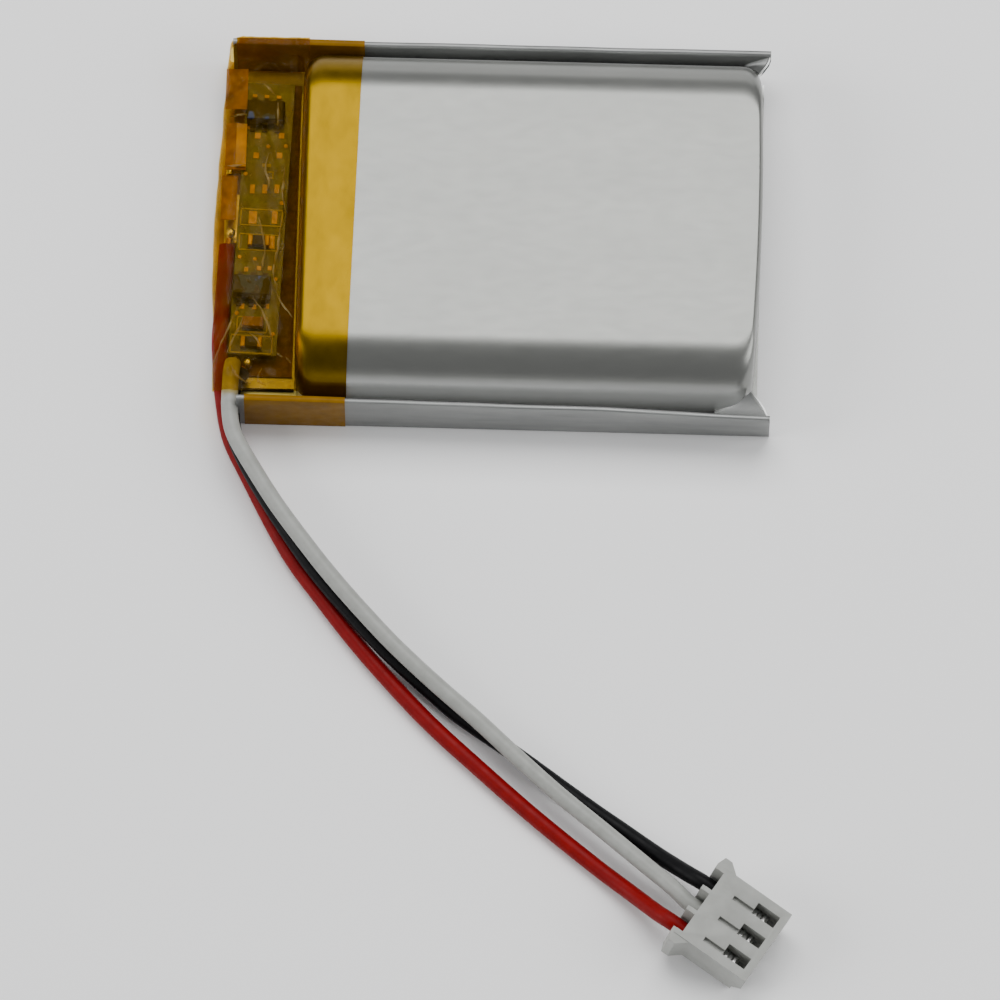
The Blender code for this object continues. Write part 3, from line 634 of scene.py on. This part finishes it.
def make_end_tape():
    """The tape's skin over the cup, its right edge a little askew, and its wraps over both folded seals."""
    rows = []
    stations = [0.0, 0.08, 0.2, 0.36, 0.55, 0.75, 1.0, 1.3, 1.6, 2.2, 2.8, 3.3, 3.8]
    left = CUP_LEFT - TAPE_GAP
    for station in stations:
        x = left + station * MM
        half = cup_section(x, TAPE_GAP)
        rows.append([(x, -y, z) for y, z in reversed(half)] + [(x, y, z) for y, z in half[1:]])
    edge = cup_section(-10.5 * MM, TAPE_GAP)
    last = [(-y, z) for y, z in reversed(edge)] + list(edge[1:])
    final = []
    for y, z in last:
        share = (y + 14.4 * MM) / (28.8 * MM)
        final.append((TAPE_RIGHT[1] + (TAPE_RIGHT[0] - TAPE_RIGHT[1]) * share, y, z))
    rows.append(final)
    grid = [[Vector(p) for p in row] for row in rows]
    normals = grid_normals(grid)
    up = Vector((-0.3, 0.0, 1.0))
    flip = -1.0 if normals[5][20].dot(up) > 0 else 1.0
    mesh = skin(grid, TAPE, lambda i, j: normals[i][j] * flip)
    finished("end_tape_top", mesh, YELLOW_TAPE, "end_tape", smooth=50.0)
    for name, side, start, end in (
        ("end_tape_front_wrap", -1, -18.55 * MM, -10.8 * MM),
        ("end_tape_rear_wrap", 1, -20.1 * MM, -10.2 * MM),
    ):
        rings = []
        for step in range(25):
            x = start + (end - start) * step / 24
            rings.append([(x, y, z) for y, z in strip_profile(side, x, 0.05 * MM)])
        finished(name, loft(rings), WRAP_TAPE, "end_tape", smooth=45.0)


# ---------------------------------------------------------------- cover film


FOLD_WIDTH = 0.75
FOLD_HEIGHT = 1.1

# Soft creases in the film's top: (x, y) of both ends, height and half width, in millimetres.
CREASES = [
    ((-17.9, 8.4), (-16.2, 3.0), 0.30, 0.45),
    ((-16.6, 10.5), (-15.6, 4.0), 0.26, 0.35),
    ((-17.2, -4.6), (-17.9, -8.0), 0.24, 0.30),
    ((-19.4, 8.0), (-18.6, 5.5), 0.24, 0.30),
    ((-18.2, -8.2), (-16.2, -9.6), 0.22, 0.30),
    ((-19.0, 2.2), (-18.9, -3.8), 0.20, 0.30),
    ((-17.7, 2.0), (-17.1, -1.9), 0.30, 0.35),
    ((-16.0, 2.0), (-16.7, -3.0), 0.26, 0.35),
    ((-16.5, -4.2), (-15.1, -7.6), 0.32, 0.40),
    ((-19.4, -5.6), (-21.2, -10.6), 0.30, 0.40),
    ((-18.6, -6.2), (-20.6, -10.8), 0.22, 0.35),
    ((-16.4, -9.6), (-15.6, -11.6), 0.30, 0.35),
    ((-17.5, 13.0), (-15.2, 11.6), 0.35, 0.40),
    ((-16.4, 11.4), (-16.5, 9.2), 0.25, 0.30),
    ((-20.3, 9.2), (-18.9, 9.0), -0.28, 0.35),
    ((-20.4, 4.8), (-18.9, 4.8), -0.30, 0.40),
    ((-18.9, 9.6), (-18.6, 2.0), -0.25, 0.45),
    ((-18.6, -11.4), (-16.9, -13.2), 0.30, 0.45),
    ((-20.8, 12.9), (-18.4, 13.6), 0.35, 0.5),
    ((-20.6, 11.2), (-18.0, 13.0), 0.25, 0.4),
]

# The film's lift over the board's height, and its left edge, as (y, value) in millimetres.
FILM_LIFTS = [
    (-14.3, 1.15), (-12.4, 0.95), (-10.6, 0.45), (-8.4, 0.0), (9.0, 0.0),
    (12.0, 0.55), (13.4, 1.1), (14.5, 2.05), (16.0, 2.1),
]
FILM_LEFTS = [
    (-14.5, -21.15), (-9.0, -21.2), (-3.0, -21.46), (1.0, -21.42),
    (5.0, -21.27), (9.0, -21.08), (13.0, -20.9), (15.3, -20.75),
]

# Narrow sharp folds in the film, as lines of (x, y) in millimetres, laid along its glints: their pale
# finish is a painted highlight.
FOLDS = [
    [(-17.95, 0.82), (-17.42, -1.57), (-17.54, -2.9), (-17.51, -3.89)],
    [(-16.18, 0.87), (-16.42, -1.79), (-16.7, -3.87), (-16.16, -5.35)],
    [(-16.47, -5.28), (-15.9, -6.42), (-15.34, -7.4), (-14.93, -8.26)],
    [(-19.32, -6.6), (-19.93, -8.36), (-20.64, -10.29), (-21.07, -11.46)],
    [(-18.8, -7.25), (-19.37, -8.93), (-20.09, -10.94)],
    [(-16.17, -10.66), (-15.93, -10.99), (-15.69, -11.31)],
    [(-15.54, -11.06), (-15.3, -11.47), (-14.98, -11.87)],
    [(-17.95, 11.86), (-17.48, 11.46), (-17.0, 10.89)],
    [(-16.76, 10.4), (-16.74, 9.57), (-16.78, 8.57)],
    [(-17.33, 6.23), (-17.61, 4.9), (-17.27, 3.75), (-17.69, 2.41)],
    [(-16.08, 5.44), (-16.17, 2.95), (-15.88, 0.96)],
    [(-18.61, -8.74), (-17.82, -9.38), (-17.33, -10.53)],
    [(-18.23, -5.91), (-17.43, -7.05), (-16.76, -8.69), (-16.57, -10.18)],
    [(-20.5, 9.3), (-19.73, 9.4), (-19.12, 9.5)],
    [(-20.84, 5.14), (-19.92, 5.08), (-19.08, 5.27)],
    [(-19.76, -11.76), (-19.11, -12.9), (-18.17, -13.54)],
    [(-17.28, -12.19), (-17.56, -13.19), (-16.93, -13.67)],
]


def near_segment(x, y, first, last):
    """How far (x, y) is from the line between two points."""
    ax, ay = first
    bx, by = last
    dx, dy = bx - ax, by - ay
    share = max(0.0, min(1.0, ((x - ax) * dx + (y - ay) * dy) / (dx * dx + dy * dy)))
    return math.hypot(x - ax - share * dx, y - ay - share * dy)


def film_lift(y):
    """How much higher the film lies at this y, over the leads in front and over the folded seal behind."""
    return between(FILM_LIFTS, y)


def film_limit(y):
    """The film's highest line: the cup's shoulder at this y, or the lifted film where that is higher."""
    reach = max(0.0, min(1.0, (abs(y) - 10.0) / 4.35))
    return max(7.48 - 4.5 * (1.0 - math.sqrt(1.0 - reach * reach)), 3.36 + film_lift(y))


def between(stations, y):
    """A smooth value at y from (place, value) stations."""
    for (a, low), (b, high) in zip(stations, stations[1:]):
        if y <= b:
            share = max(0.0, (y - a) / (b - a))
            share = share * share * (3.0 - 2.0 * share)
            return low + (high - low) * share
    return stations[-1][1]


def film_section(y):
    """The film's section in millimetres at this y: over the cell's end and the board, then underneath."""
    lift = film_lift(y)
    left = between(FILM_LEFTS, y)
    path = [(-14.45, 7.48), (-14.72, 7.1), (-14.83, 6.5), (-14.9, 5.5), (-15.05, 4.5), (-15.35, 3.8 + lift)]
    path += [(-15.8, 3.45 + lift), (-16.6, 3.30 + lift), (-17.7, 3.26 + lift), (-18.7, 3.28 + lift)]
    path += [(-19.6, 3.34 + lift), (left + 1.1, 3.36 + lift), (left + 0.5, 3.1 + lift * 0.9)]
    path = [(x, max(z, 3.28 + lift) if x > -15.3 else z) for x, z in path]
    path += [(left + 0.14, 2.6 + lift * 0.6), (left, 1.9), (left, 1.1), (left, 0.5)]
    path += [(left + 0.15, 0.15), (left + 0.5, 0.05), (-18.5, 0.05), (-15.2, 0.05)]
    return [(x, min(z, film_limit(y))) for x, z in path]


def finer(path, step):
    """Even points along a Catmull-Rom curve: step is a spacing, or a whole number of parts."""
    nodes = [Vector(p) for p in path]
    padded = [nodes[0] * 2 - nodes[1]] + nodes + [nodes[-1] * 2 - nodes[-2]]
    fine = []
    for a, b, c, d in zip(padded, padded[1:], padded[2:], padded[3:]):
        for part in range(12):
            t = part / 12
            bend = (b * 3 - c * 3 + d - a) * t**3 + (a * 2 - b * 5 + c * 4 - d) * t**2
            fine.append((b * 2 + (c - a) * t + bend) / 2)
    fine.append(nodes[-1])
    total = [0.0]
    for first, second in zip(fine, fine[1:]):
        total.append(total[-1] + (second - first).length)
    count = step if isinstance(step, int) else max(2, round(total[-1] / step))
    result = []
    index = 0
    for i in range(count + 1):
        target = total[-1] * i / count
        while index < len(fine) - 2 and total[index + 1] < target:
            index += 1
        span = max(total[index + 1] - total[index], 1e-12)
        result.append(fine[index].lerp(fine[index + 1], min(1.0, (target - total[index]) / span)))
    return result


def film_wrinkle(x, y):
    """How far the film's top is wrinkled up or down at a point, all in millimetres."""
    rise = 0.10 * noise.noise(Vector((x / 1.3, y / 2.2, 1.0)))
    rise += 0.16 * abs(noise.noise(Vector((x / 0.8, y / 2.6, 4.0))))
    rise -= 0.10 * abs(noise.noise(Vector(((x + y) / 1.1, (y - x) / 2.0, 9.0))))
    for first, last, height, half in CREASES:
        far = near_segment(x, y, first, last) / (half * FOLD_WIDTH)
        if far < 1.0:
            rise += height * FOLD_HEIGHT * (1.0 - far) ** 1.3
    return rise


def make_film():
    """The amber film over the board and terrace, wrinkled on top and tucked in at its front edge."""
    rows = []
    for step in range(FILM_ROWS + 1):
        y = (FILM_FRONT + (FILM_REAR - FILM_FRONT) * step / FILM_ROWS) / MM
        row = []
        for x, z in finer(film_section(y), FILM_COLUMNS):
            if z > 2.8:
                fade = min(1.0, (z - 2.8) / 0.6) * min(1.0, max(0.0, (-14.9 - x) / 0.4))
                z += fade * film_wrinkle(x, y)
            elif z > 0.4:
                x += 0.05 * noise.noise(Vector((y / 1.6, z / 1.2, 7.0)))
            front = max(0.0, 1.0 - (y + 14.1) / 2.5)
            row.append(Vector((x, y + front * max(0.0, 1.0 - z / 4.2) * 1.6, z)) * MM)
        rows.append(row)
    rear = rows[FILM_ROWS]
    for drop in (0.03, 0.10, 0.20, 0.30):
        rows.append([Vector((p.x, p.y + min(drop, 0.06) * MM, p.z * (1.0 - drop))) for p in rear])
    normals = grid_normals(rows)
    flip = -1.0 if normals[90][60].z > 0 else 1.0
    mesh = skin(rows, FILM, lambda i, j: normals[i][j] * flip)
    finished("cover_film_skin", mesh, AMBER_FILM, "board_cover_film", smooth=70.0)
    make_folds([p for row in rows[:FILM_ROWS] for p in row if p.z > 2.9 * MM])


def make_folds(surface):
    """Thin pressed ridges where the film is creased, each tapering to its ends, their pale finish a painted
    highlight.
    """
    mesh = bmesh.new()
    parts = 14
    for number, fold in enumerate(FOLDS):
        line = finer([Vector((x, y, 0.0)) for x, y in fold], parts)
        rings = []
        for step, point in enumerate(line):
            point = point * MM
            point.x += 0.05 * MM * wave(point.y, point.x, 1.1 * MM, 20.0 + number)
            near = min(surface, key=lambda p: (p.x - point.x) ** 2 + (p.y - point.y) ** 2)
            along = line[min(step + 1, parts)] - line[max(step - 1, 0)]
            side = Vector((-along.y, along.x, 0.0)).normalized()
            swell = 0.6 + 0.4 * wave(step, number, 2.3, 5.0)
            width = (0.02 + 0.13 * math.sin(math.pi * step / parts) * swell) * MM
            rings.append([
                mesh.verts.new((point.x - side.x * width, point.y - side.y * width, near.z - 0.02 * MM)),
                mesh.verts.new((point.x + side.x * width, point.y + side.y * width, near.z - 0.02 * MM)),
                mesh.verts.new((point.x, point.y, near.z + 0.06 * MM)),
            ])
        for first, second in zip(rings, rings[1:]):
            bridge(mesh, first, second)
        mesh.faces.new(rings[0])
        mesh.faces.new(rings[-1])
    finished("cover_film_folds", mesh, FOLD_HIGHLIGHT, smooth=30.0)


# ---------------------------------------------------------------- board


# Solder pads and printed outlines as (u, v, width, length), and vias as (u, v), in the board's millimetres.
PADS = [
    (-0.77, 6.94, 0.42, 0.48), (1.07, 7.05, 0.41, 0.47), (-0.78, 5.28, 0.41, 0.47),
    (1.02, 5.38, 0.42, 0.47), (-0.89, 2.45, 0.35, 0.73), (0.07, 2.50, 0.36, 0.73),
    (1.00, 2.56, 0.36, 0.72), (0.99, 0.15, 0.42, 1.05), (-0.70, 0.05, 0.62, 1.05),
    (0.88, -1.95, 0.50, 1.05), (-0.92, -4.31, 0.30, 0.36), (0.06, -4.17, 0.33, 0.35),
    (0.89, -4.12, 0.30, 0.35), (-1.03, -7.42, 0.34, 0.42), (-0.09, -7.42, 0.33, 0.41),
    (0.89, -7.30, 0.33, 0.41), (-1.20, 10.2, 0.34, 0.42), (-0.28, 10.2, 0.34, 0.42),
    (0.66, 10.2, 0.34, 0.42),
]
MARKINGS = [
    (-0.03, 0.09, 3.2, 1.34), (-0.11, -2.0, 3.0, 1.31),
    (-0.16, -8.91, 2.31, 1.23), (-0.12, -10.55, 3.2, 1.45),
]
MARKING_LINE = 0.11
VIAS = [
    (-1.45, 7.6), (1.45, 6.2), (-1.5, 3.7), (1.45, 1.4), (-1.5, -3.3),
    (1.4, -5.0), (-1.4, -8.0), (1.5, -9.6), (0.1, 6.1), (-0.3, -3.4),
]

# Chips with solder at both ends: the name of their terminals, (u, v), and length across the board.
END_CHIPS = [
    ("filter_capacitor_terminals", -0.1, -8.85, 1.6),
    ("supply_resistor_terminals", -0.12, -10.5, 1.6),
    ("thermistor_terminals", -0.1, -2.0, 1.6),
]


def on_board(name, mesh, look, bevel=0.0):
    """A piece whose bmesh was made in the board's own flat frame."""
    obj = built(name, mesh)
    if bevel:
        rounded(obj, bevel)
    obj.data.transform(BOARD_MATRIX)
    dress(obj, look)


def make_board_details():
    """Pads, vias, printed outlines and chip terminals on the board's top."""
    top = BOARD_TOP / MM
    mesh = bmesh.new()
    for u, v, wide, long in PADS:
        add_box(mesh, (u - wide / 2, v - long / 2, top + 0.005), (u + wide / 2, v + long / 2, top + 0.045))
    for u, v in VIAS:
        bmesh.ops.create_cone(
            mesh, cap_ends=True, segments=16, radius1=0.17 * MM, radius2=0.15 * MM, depth=0.03 * MM,
            matrix=Matrix.Translation((u * MM, v * MM, (top + 0.02) * MM)),
        )
    on_board("board_pads", mesh, GOLD_PAD)
    bars = []
    for u, v, wide, long in MARKINGS:
        bars += [(u, v + side * long / 2, wide, MARKING_LINE) for side in (1, -1)]
        bars += [(u + side * wide / 2, v, MARKING_LINE, long - MARKING_LINE * 1.4) for side in (-1, 1)]
    bars += [(0.43, 3.95, 0.5, 0.1), (0.43, 3.45, 0.5, 0.1), (0.62, 3.7, 0.1, 0.34), (0.07, 4.5, 0.7, 0.28)]
    mesh = bmesh.new()
    for u, v, wide, long in bars:
        add_box(mesh, (u - wide / 2, v - long / 2, top + 0.006), (u + wide / 2, v + long / 2, top + 0.03))
    on_board("board_markings", mesh, SILK_GOLD)
    for name, u, v, wide in END_CHIPS:
        mesh = bmesh.new()
        for side in (-1, 1):
            end = u + side * (wide / 2 - 0.15)
            add_box(mesh, (end - 0.18, v - 0.43, top + 0.015), (end + 0.18, v + 0.43, top + 0.52))
        on_board(name, mesh, GOLD_PAD, 0.04 * MM)


def make_insulation():
    """Folded amber tape on the terrace beside the board, seen through the film."""
    patches = [
        ("terrace_tape_rear", (-20.9, 10.2, 2.3), (-19.2, 13.6, 2.55), AMBER_TAPE),
        ("terrace_tape_middle", (-20.75, 5.2, 2.05), (-19.15, 9.1, 2.3), AMBER_TAPE),
        ("terrace_tape_fold", (-19.95, 5.4, 2.3), (-19.15, 9.0, 2.52), BRIGHT_TAPE),
        ("terrace_tape_front", (-20.95, 1.0, 2.0), (-19.75, 4.7, 2.25), AMBER_TAPE),
    ]
    for name, low, high, look in patches:
        rows = []
        for i in range(17):
            row = []
            for j in range(13):
                x = low[0] + (high[0] - low[0]) * j / 12
                y = low[1] + (high[1] - low[1]) * i / 16
                z = high[2] + 0.12 * noise.noise(Vector((x / 0.7, y / 1.1, 2.0)))
                row.append(Vector((x, y, z)) * MM)
            rows.append(row)
        mesh = skin(rows, 0.06 * MM, lambda i, j: DOWN)
        finished(name, mesh, look)


# ---------------------------------------------------------------- leads


def make_wire(name, route, look, node):
    """An insulated lead as a round tube along its route, and the tube's length."""
    points = finer(route, 0.35 * MM)
    curve = bpy.data.curves.new(name, "CURVE")
    curve.dimensions = "3D"
    curve.bevel_depth = WIRE_RADIUS
    curve.bevel_resolution = 6
    curve.use_fill_caps = True
    spline = curve.splines.new("POLY")
    spline.points.add(len(points) - 1)
    for slot_point, point in zip(spline.points, points):
        slot_point.co = (*point, 1.0)
    spline.use_smooth = True
    obj = bpy.data.objects.new(name, curve)
    bpy.context.scene.collection.objects.link(obj)
    dress(obj, look, node)
    return obj, sum((b - a).length for a, b in zip(points, points[1:]))


# ---------------------------------------------------------------- plug


def cut(obj, name, low, high):
    """Cuts a box, given in millimetres, out of an object."""
    merged(obj, built(name, box_mesh(low, high)), "DIFFERENCE")


def extruded(outline, low, high, axis):
    """An outline in millimetres, drawn out from low to high along the axis numbered 0, 1 or 2."""
    rings = []
    for depth in (low, high):
        rings.append([(Vector((*point[:axis], depth, *point[axis:])) * MM) for point in outline])
    return loft(rings)


def merged(obj, other, operation="UNION"):
    """Joins another object into this one, or takes it away, and deletes the other."""
    modifier = obj.modifiers.new(other.name, "BOOLEAN")
    modifier.operation = operation
    modifier.solver = "EXACT"
    modifier.object = other
    applied(obj)
    bpy.data.objects.remove(other, do_unlink=True)


def make_plug():
    """The plug's housing, in its own frame from the middle of its rear edge, and its three contacts."""
    half = PLUG_HALF_WIDTH / MM
    ear = PLUG_EAR / MM
    length = PLUG_LENGTH / MM
    body = built("plug_housing", box_mesh((0.0, -half, -3.72), (5.9, half, 0.0)))
    nose = [(5.6, -3.6), (5.75, -3.3), (length, -2.2), (length, 0.0), (5.6, 0.0)]
    merged(body, built("nose", extruded(nose, -half, half, 1)))
    flange = [(-0.25, -half), (0.0, -ear), (0.6, -ear), (1.5, -half + 0.05)]
    flange += [(x, -y) for x, y in reversed(flange)]
    merged(body, built("flange", extruded(flange, -3.75, -0.06, 2)))
    for index in (-1, 0, 1):
        y = index * PIN_PITCH / MM
        cut(body, "cavity", (-1.0, y - 0.78, -3.0), (6.1, y + 0.78, -1.4))
        cut(body, "throat", (-1.0, y - 0.82, -2.0), (0.55, y + 0.82, 0.6))
        cut(body, "pin_hole", (5.5, y - 0.4, -2.6), (7.5, y + 0.4, -1.8))
        cut(body, "window", (4.0, y - 0.5, -2.0), (6.0, y + 0.5, 1.0))
        cut(body, "groove", (2.2, y - 0.5, -0.35), (4.3, y - 0.12, 1.0))
    rounded(body, 0.07 * MM, angle=40.0)
    body.data.transform(PLUG_MATRIX)
    dress(body, NYLON, "connector_housing")
    for name, index in (("red_contact", -1), ("white_contact", 0), ("black_contact", 1)):
        make_contact(name, index)
    return body


def make_contact(name, index):
    """A folded crimp terminal: wings round the strands, a neck, and a box with a spring tongue."""
    y = index * PIN_PITCH / MM
    drop = -WIRE_DROP / MM
    stations = [
        (1.30, 0.40, 0.40), (1.45, 0.46, 0.44), (1.85, 0.46, 0.40), (2.05, 0.38, 0.32), (2.50, 0.36, 0.30),
        (2.80, 0.26, 0.24), (3.15, 0.26, 0.24), (3.40, 0.52, 0.60), (3.95, 0.60, 0.78), (4.35, 0.60, 0.78),
        (4.50, 0.60, 0.62), (4.75, 0.60, 0.58), (4.90, 0.60, 0.74), (5.10, 0.60, 0.76), (5.30, 0.56, 0.60),
    ]
    squareness = 0.35
    rings = []
    for along, wide, tall in stations:
        ring = []
        for step in range(24):
            angle = 2.0 * math.pi * (step + 0.5) / 24
            c, d = math.cos(angle), math.sin(angle)
            a = math.copysign(abs(c) ** squareness, c) * wide
            b = math.copysign(abs(d) ** squareness, d) * tall
            ring.append((along * MM, (y + a) * MM, (drop + b) * MM))
        rings.append(ring)
    obj = built(name + "_terminal", loft(rings), smooth=30.0)
    obj.data.transform(PLUG_MATRIX)
    dress(obj, TIN, name)


# ---------------------------------------------------------------- the carried-over CAD nodes


CARRIED = {
    "pouch_back": (SILVER, "laminate"), "terrace_seal": (SILVER, "laminate"),
    "insulation_paper": (SHADED_PAPER, "insulation_paper"),
    "anode_foil": (ANODE, "anode_coating"), "cathode_foil": (CATHODE, "cathode_coating"),
    "inner_separator": (SEPARATOR, "separator"), "outer_separator": (SEPARATOR, "separator"),
    "roll_closing_tape": (ROLL_TAPE, "roll_tape"),
    "positive_tab": (ALUMINIUM, "aluminium_tab"), "negative_tab": (NICKEL, "nickel"),
    "positive_tab_sealant": (SEALANT, "tab_sealant"), "negative_tab_sealant": (SEALANT, "tab_sealant"),
    "positive_weld_plate": (NICKEL, "nickel"), "negative_weld_plate": (NICKEL, "nickel"),
    "circuit_board": (BOARD_GREEN, "circuit_board"),
    "switch_mosfets": (CHIP_BLACK, "chip_body"), "protection_ic": (CHIP_BLACK, "chip_body"),
    "thermistor": (CHIP_BLACK, "chip_body"), "filter_capacitor": (CERAMIC, "ceramic_chip"),
    "supply_resistor": (CHIP_BLACK, "chip_body"),
    "red_strands": (COPPER, "copper"), "black_strands": (COPPER, "copper"),
    "white_strands": (COPPER, "copper"),
    "red_solder_joint": (TIN, "tinned_metal"), "black_solder_joint": (TIN, "tinned_metal"),
    "white_solder_joint": (TIN, "tinned_metal"),
}


def dress_carried():
    """Gives every CAD node that no piece stands for its own look."""
    for name, (look, slot) in CARRIED.items():
        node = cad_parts[name]
        node.data.materials.clear()
        node.data.materials.append(look)


# ---------------------------------------------------------------- stage


def plain_look(name, colour):
    made = bpy.data.materials.new(name)
    made.use_nodes = True
    shader = made.node_tree.nodes["Principled BSDF"]
    shader.inputs["Base Color"].default_value = (*colour, 1.0)
    shader.inputs["Roughness"].default_value = 0.9
    shader.inputs["Specular IOR Level"].default_value = 0.1
    return made


def area_light(name, direction, distance, size, power):
    """A soft rectangular light that faces the middle of the scene from one direction."""
    data = bpy.data.lights.new(name, "AREA")
    data.shape = "RECTANGLE"
    data.size, data.size_y = size
    data.energy = power
    obj = bpy.data.objects.new(name, data)
    bpy.context.scene.collection.objects.link(obj)
    towards = Vector(direction).normalized()
    obj.location = LIGHT_TARGET + towards * distance
    obj.rotation_euler = towards.to_track_quat("Z", "Y").to_euler()


def make_stage():
    """A plain pale floor just under the pack, a dim even sky and soft studio lights."""
    mesh = bmesh.new()
    bmesh.ops.create_grid(mesh, x_segments=1, y_segments=1, size=3.0)
    bmesh.ops.translate(mesh, vec=(0.0, 0.0, -0.03 * MM), verts=mesh.verts)
    data = bpy.data.meshes.new("floor")
    mesh.to_mesh(data)
    mesh.free()
    floor = bpy.data.objects.new("floor", data)
    bpy.context.scene.collection.objects.link(floor)
    data.materials.append(plain_look("floor_look", (0.96, 0.96, 0.96)))
    world = bpy.data.worlds.new("studio")
    bpy.context.scene.world = world
    world.use_nodes = True
    sky = world.node_tree.nodes["Background"]
    sky.inputs["Color"].default_value = (0.95, 0.97, 1.0, 1.0)
    sky.inputs["Strength"].default_value = 0.20
    area_light("overhead_softbox", (0.0, 0.40, 0.92), 0.60, (0.55, 0.36), 3.4)
    area_light("front_fill", (0.0, -1.0, 0.20), 0.70, (0.6, 0.12), 0.30)
    area_light("rear_fill", (0.0, 1.0, 0.16), 0.70, (0.6, 0.16), 0.5)
    area_light("left_fill", (-1.0, -0.1, 0.55), 0.80, (0.5, 0.5), 3.6)
    area_light("right_fill", (1.0, -0.1, 0.65), 0.80, (0.5, 0.5), 3.6)


def make_camera():
    """The camera at the photograph's angle, as the scene's camera."""
    data = bpy.data.cameras.new("camera")
    data.sensor_width = 36.0
    data.lens = VIEW_LENS
    data.clip_start, data.clip_end = 0.01, 20.0
    obj = bpy.data.objects.new("camera", data)
    bpy.context.scene.collection.objects.link(obj)
    back = Vector((
        math.sin(VIEW_TURN) * math.cos(VIEW_ELEVATION),
        -math.cos(VIEW_TURN) * math.cos(VIEW_ELEVATION),
        math.sin(VIEW_ELEVATION),
    ))
    obj.location = VIEW_TARGET + back * VIEW_DISTANCE
    right = Vector((math.cos(VIEW_TURN), math.sin(VIEW_TURN), 0.0))
    up = back.cross(right)
    obj.rotation_mode = "QUATERNION"
    obj.rotation_quaternion = Matrix((right, up, back)).transposed().to_quaternion()
    bpy.context.scene.camera = obj


make_stage()
make_camera()
make_pouch()
make_strip("front_seal_strip", -1, -19.15 * MM, "side_seal_front")
make_strip("rear_seal_strip", 1, -20.4 * MM, "side_seal_rear")
make_gusset("front_gusset", -1)
make_gusset("rear_gusset", 1)
make_end_tape()
make_film()
make_board_details()
make_insulation()
dress_carried()

plug = make_plug()
on_plug = {colour: [bpy.data.objects[f"{colour}_contact_terminal"]] for colour in ("red", "black", "white")}
on_plug["white"].append(plug)
leads = (("red", RED_ROUTE, RED), ("black", BLACK_ROUTE, BLACK), ("white", WHITE_ROUTE, WHITE))
for colour, route, look in leads:
    wire, length = make_wire(f"{colour}_lead", route, look, f"{colour}_wire")
